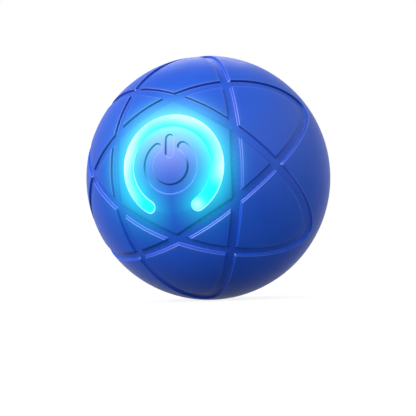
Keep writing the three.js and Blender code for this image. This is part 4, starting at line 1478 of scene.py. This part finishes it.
class CATBALL_OT_finishes(bpy.types.Operator):
    """Make the materials and give each inner part the finish that it has in the real ball"""

    bl_idname = "catball.finishes"
    bl_label = "Finishes"
    bl_options = {"REGISTER", "UNDO"}

    def execute(self, context):
        skin = context.scene.cat_ball_skin
        silicone(skin)
        glowing_lens(skin)
        for material, names in inner_finishes().items():
            for name in names.split():
                for part in parts_named(name):
                    part.data.materials.clear()
                    part.data.materials.append(material)
        return {"FINISHED"}


def parts_named(name):
    """The part of this name, or the parts that are numbered under it."""
    nodes = frame["nodes"]
    return [nodes[n] for n in nodes if n == name or n.removeprefix(name + "_").isdigit()]


def inner_finishes():
    """The materials of the parts inside, each with the names of the parts that have it."""
    shell = moulded_plastic("shell_plastic", (0.72, 0.73, 0.76), (0.66, 0.67, 0.7), 0.45)
    acetal = moulded_plastic("gear_acetal", (0.86, 0.85, 0.8), (0.8, 0.79, 0.73), 0.38)
    chip = moulded_plastic("chip_resin", (0.016, 0.016, 0.018), (0.03, 0.03, 0.033), 0.45)
    rubber = soft_rubber("gasket_rubber", (0.03, 0.03, 0.034), (0.012, 0.012, 0.014))
    foam = soft_rubber("cell_foam", (0.12, 0.125, 0.135), (0.04, 0.042, 0.046))
    steel = worked_metal("drawn_steel", (0.62, 0.63, 0.65), (0.4, 0.41, 0.43), 0.3, (1, 12, 1))
    brass = worked_metal("turned_brass", (0.78, 0.56, 0.22), (0.55, 0.36, 0.12), 0.28, (1, 12, 1))
    zinc = worked_metal("cast_zinc", (0.42, 0.43, 0.45), (0.26, 0.27, 0.29), 0.5, (1, 1, 1))
    return {
        shell: "front_shell rear_shell front_bearing_plate rear_gear_plate",
        acetal: "weight_carrier idler_gear motor_end_cap front_ribbon_socket rear_ribbon_socket",
        chip: "control_chip motion_sensor charge_chip switch_plunger",
        rubber: "shell_gasket button_gasket",
        foam: "battery_foam",
        steel: "shell_screw front_plate_screw gear_plate_screw main_shaft motor_shaft motor_can "
        "idler_pin tact_switch usb_port",
        brass: "front_bush rear_bush motor_pinion",
        zinc: "eccentric_weight",
        circuit_board("circuit_board"): "control_board charge_board",
        phosphor_lamp(): "led",
        cell_foil(): "battery",
        flat_cable(): "ribbon_cable",
    }


class CATBALL_OT_studio(bpy.types.Operator):
    """Build the pale floor, the soft lamps and the camera"""

    bl_idname = "catball.studio"
    bl_label = "Studio"
    bl_options = {"REGISTER", "UNDO"}

    def execute(self, context):
        studio = context.scene.cat_ball_studio
        make_floor(studio)
        make_room(context.scene, studio)
        for name, (place, width, power) in LAMPS.items():
            lamp(name, place, width, getattr(studio, power))
        make_camera(context.scene, studio)
        context.scene.view_settings.view_transform = "Standard"
        return {"FINISHED"}


def where_seen(tree, other, seen):
    """A shader for rays that show the background, the camera's, mirrors' and glass's, and
    another for all others."""
    path = node(tree, "ShaderNodeLightPath").outputs
    shows = path["Is Camera Ray"]
    for name in ("Is Glossy Ray", "Is Transmission Ray"):
        shows = node(
            tree, "ShaderNodeMath", {"operation": "MAXIMUM"}, _0=shows, _1=path[name]
        ).outputs[0]
    return node(tree, "ShaderNodeMixShader", _0=shows, _1=other, _2=seen).outputs[0]


def make_floor(studio):
    """A pale floor on which the ball stands. It looks white and keeps the ball's shadow."""
    half, low = studio.floor_size, -BALL_RADIUS
    corners = [(-half, low, half), (half, low, half), (half, low, -half), (-half, low, -half)]
    floor = new_object("floor", np.array(corners), [(0, 1, 2, 3)])
    material, tree = new_material("pale_floor")
    plain = node(tree, "ShaderNodeBsdfDiffuse", Color=studio.floor_tone).outputs[0]
    white = node(tree, "ShaderNodeEmission", Color=WHITE, Strength=studio.floor_light).outputs[0]
    lit = node(tree, "ShaderNodeAddShader", _0=plain, _1=white).outputs[0]
    node(tree, "ShaderNodeOutputMaterial", Surface=where_seen(tree, plain, lit))
    floor.data.materials.append(material)


def make_room(scene, studio):
    """A room lit like one wide softbox at the upper left front, and white where it is seen."""
    world = bpy.data.worlds.new("room")
    world.use_nodes = True
    tree = world.node_tree
    tree.nodes.clear()
    toward = node(tree, "ShaderNodeTexCoord").outputs["Generated"]
    lit_side = studio_view(studio) @ Vector(studio.light_from).normalized()
    facing = node(
        tree, "ShaderNodeVectorMath", {"operation": "DOT_PRODUCT"}, _0=toward, _1=lit_side
    ).outputs["Value"]
    strength = spread(tree, facing, -1, 1, studio.room_dark, studio.room_bright)
    dim = node(tree, "ShaderNodeBackground", Color=WHITE, Strength=strength).outputs[0]
    white = node(tree, "ShaderNodeBackground", Color=WHITE, Strength=1.0).outputs[0]
    node(tree, "ShaderNodeOutputWorld", Surface=where_seen(tree, dim, white))
    scene.world = world


def lamp(name, place, width, power):
    """A round soft lamp that points at the ball."""
    light = bpy.data.lights.new(name, "AREA")
    light.shape = "DISK"
    light.size = width
    light.energy = power
    lamp_object = bpy.data.objects.new(name, light)
    lamp_object.location = place
    lamp_object.rotation_euler = (-Vector(place)).to_track_quat("-Z", "Y").to_euler()
    bpy.context.scene.collection.objects.link(lamp_object)


def studio_view(studio):
    """The camera's axes, before it is turned a little to place the ball in the picture."""
    turn = Matrix.Rotation(studio.azimuth, 3, "Z") @ Matrix.Rotation(-studio.elevation, 3, "X")
    away = turn @ Vector((0, -1, 0))
    right = turn @ Vector((1, 0, 0))
    up = away.cross(right)
    return Matrix((right, up, away)).transposed() @ Matrix.Rotation(-studio.roll, 3, "Z")


def make_camera(scene, studio):
    """The camera, turned so that the ball's middle lands where the picture has it."""
    view = studio_view(studio)
    half = studio.picture / 2
    middle = Vector((studio.middle_x - half, half - studio.middle_y, -studio.focal_px))
    aim = middle.rotation_difference(Vector((0, 0, -1))).to_matrix()
    data = bpy.data.cameras.new("camera")
    data.sensor_width = SENSOR_WIDTH
    data.lens = studio.focal_px * SENSOR_WIDTH / studio.picture
    data.clip_start, data.clip_end = CAMERA_SEES
    camera = bpy.data.objects.new("camera", data)
    place = view @ Vector((0, 0, studio.distance))
    camera.matrix_world = Matrix.Translation(place) @ (view @ aim).to_4x4()
    scene.collection.objects.link(camera)
    scene.camera = camera


OPERATORS = (
    CATBALL_OT_finishes,
    CATBALL_OT_front_cover,
    CATBALL_OT_rear_cover,
    CATBALL_OT_power_key,
    CATBALL_OT_light_ring,
    CATBALL_OT_charge_plug,
    CATBALL_OT_studio,
)


class CATBALL_PT_panel(bpy.types.Panel):
    """The ball's settings and the operators that build it"""

    bl_idname = "CATBALL_PT_panel"
    bl_label = "Cat Ball"
    bl_space_type = "VIEW_3D"
    bl_region_type = "UI"
    bl_category = "Cat Ball"

    def draw(self, context):
        for name, group in SETTINGS.items():
            box = self.layout.box()
            box.label(text=group.__doc__)
            for key in group.__annotations__:
                box.prop(getattr(context.scene, name), key)
        for operator in OPERATORS:
            self.layout.operator(operator.bl_idname)


def register():
    for group in SETTINGS.values():
        bpy.utils.register_class(group)
    for operator in OPERATORS:
        bpy.utils.register_class(operator)
    bpy.utils.register_class(CATBALL_PT_panel)
    for name, group in SETTINGS.items():
        setattr(bpy.types.Scene, name, bpy.props.PointerProperty(type=group))


def unregister():
    for name in SETTINGS:
        delattr(bpy.types.Scene, name)
    bpy.utils.unregister_class(CATBALL_PT_panel)
    for operator in reversed(OPERATORS):
        bpy.utils.unregister_class(operator)
    for group in reversed(SETTINGS.values()):
        bpy.utils.unregister_class(group)


def main():
    register()
    bpy.ops.catball.finishes()
    bpy.ops.catball.front_cover()
    bpy.ops.catball.rear_cover()
    bpy.ops.catball.power_key()
    bpy.ops.catball.light_ring()
    bpy.ops.catball.charge_plug()
    bpy.ops.catball.studio()


if __name__ == "__main__":
    main()
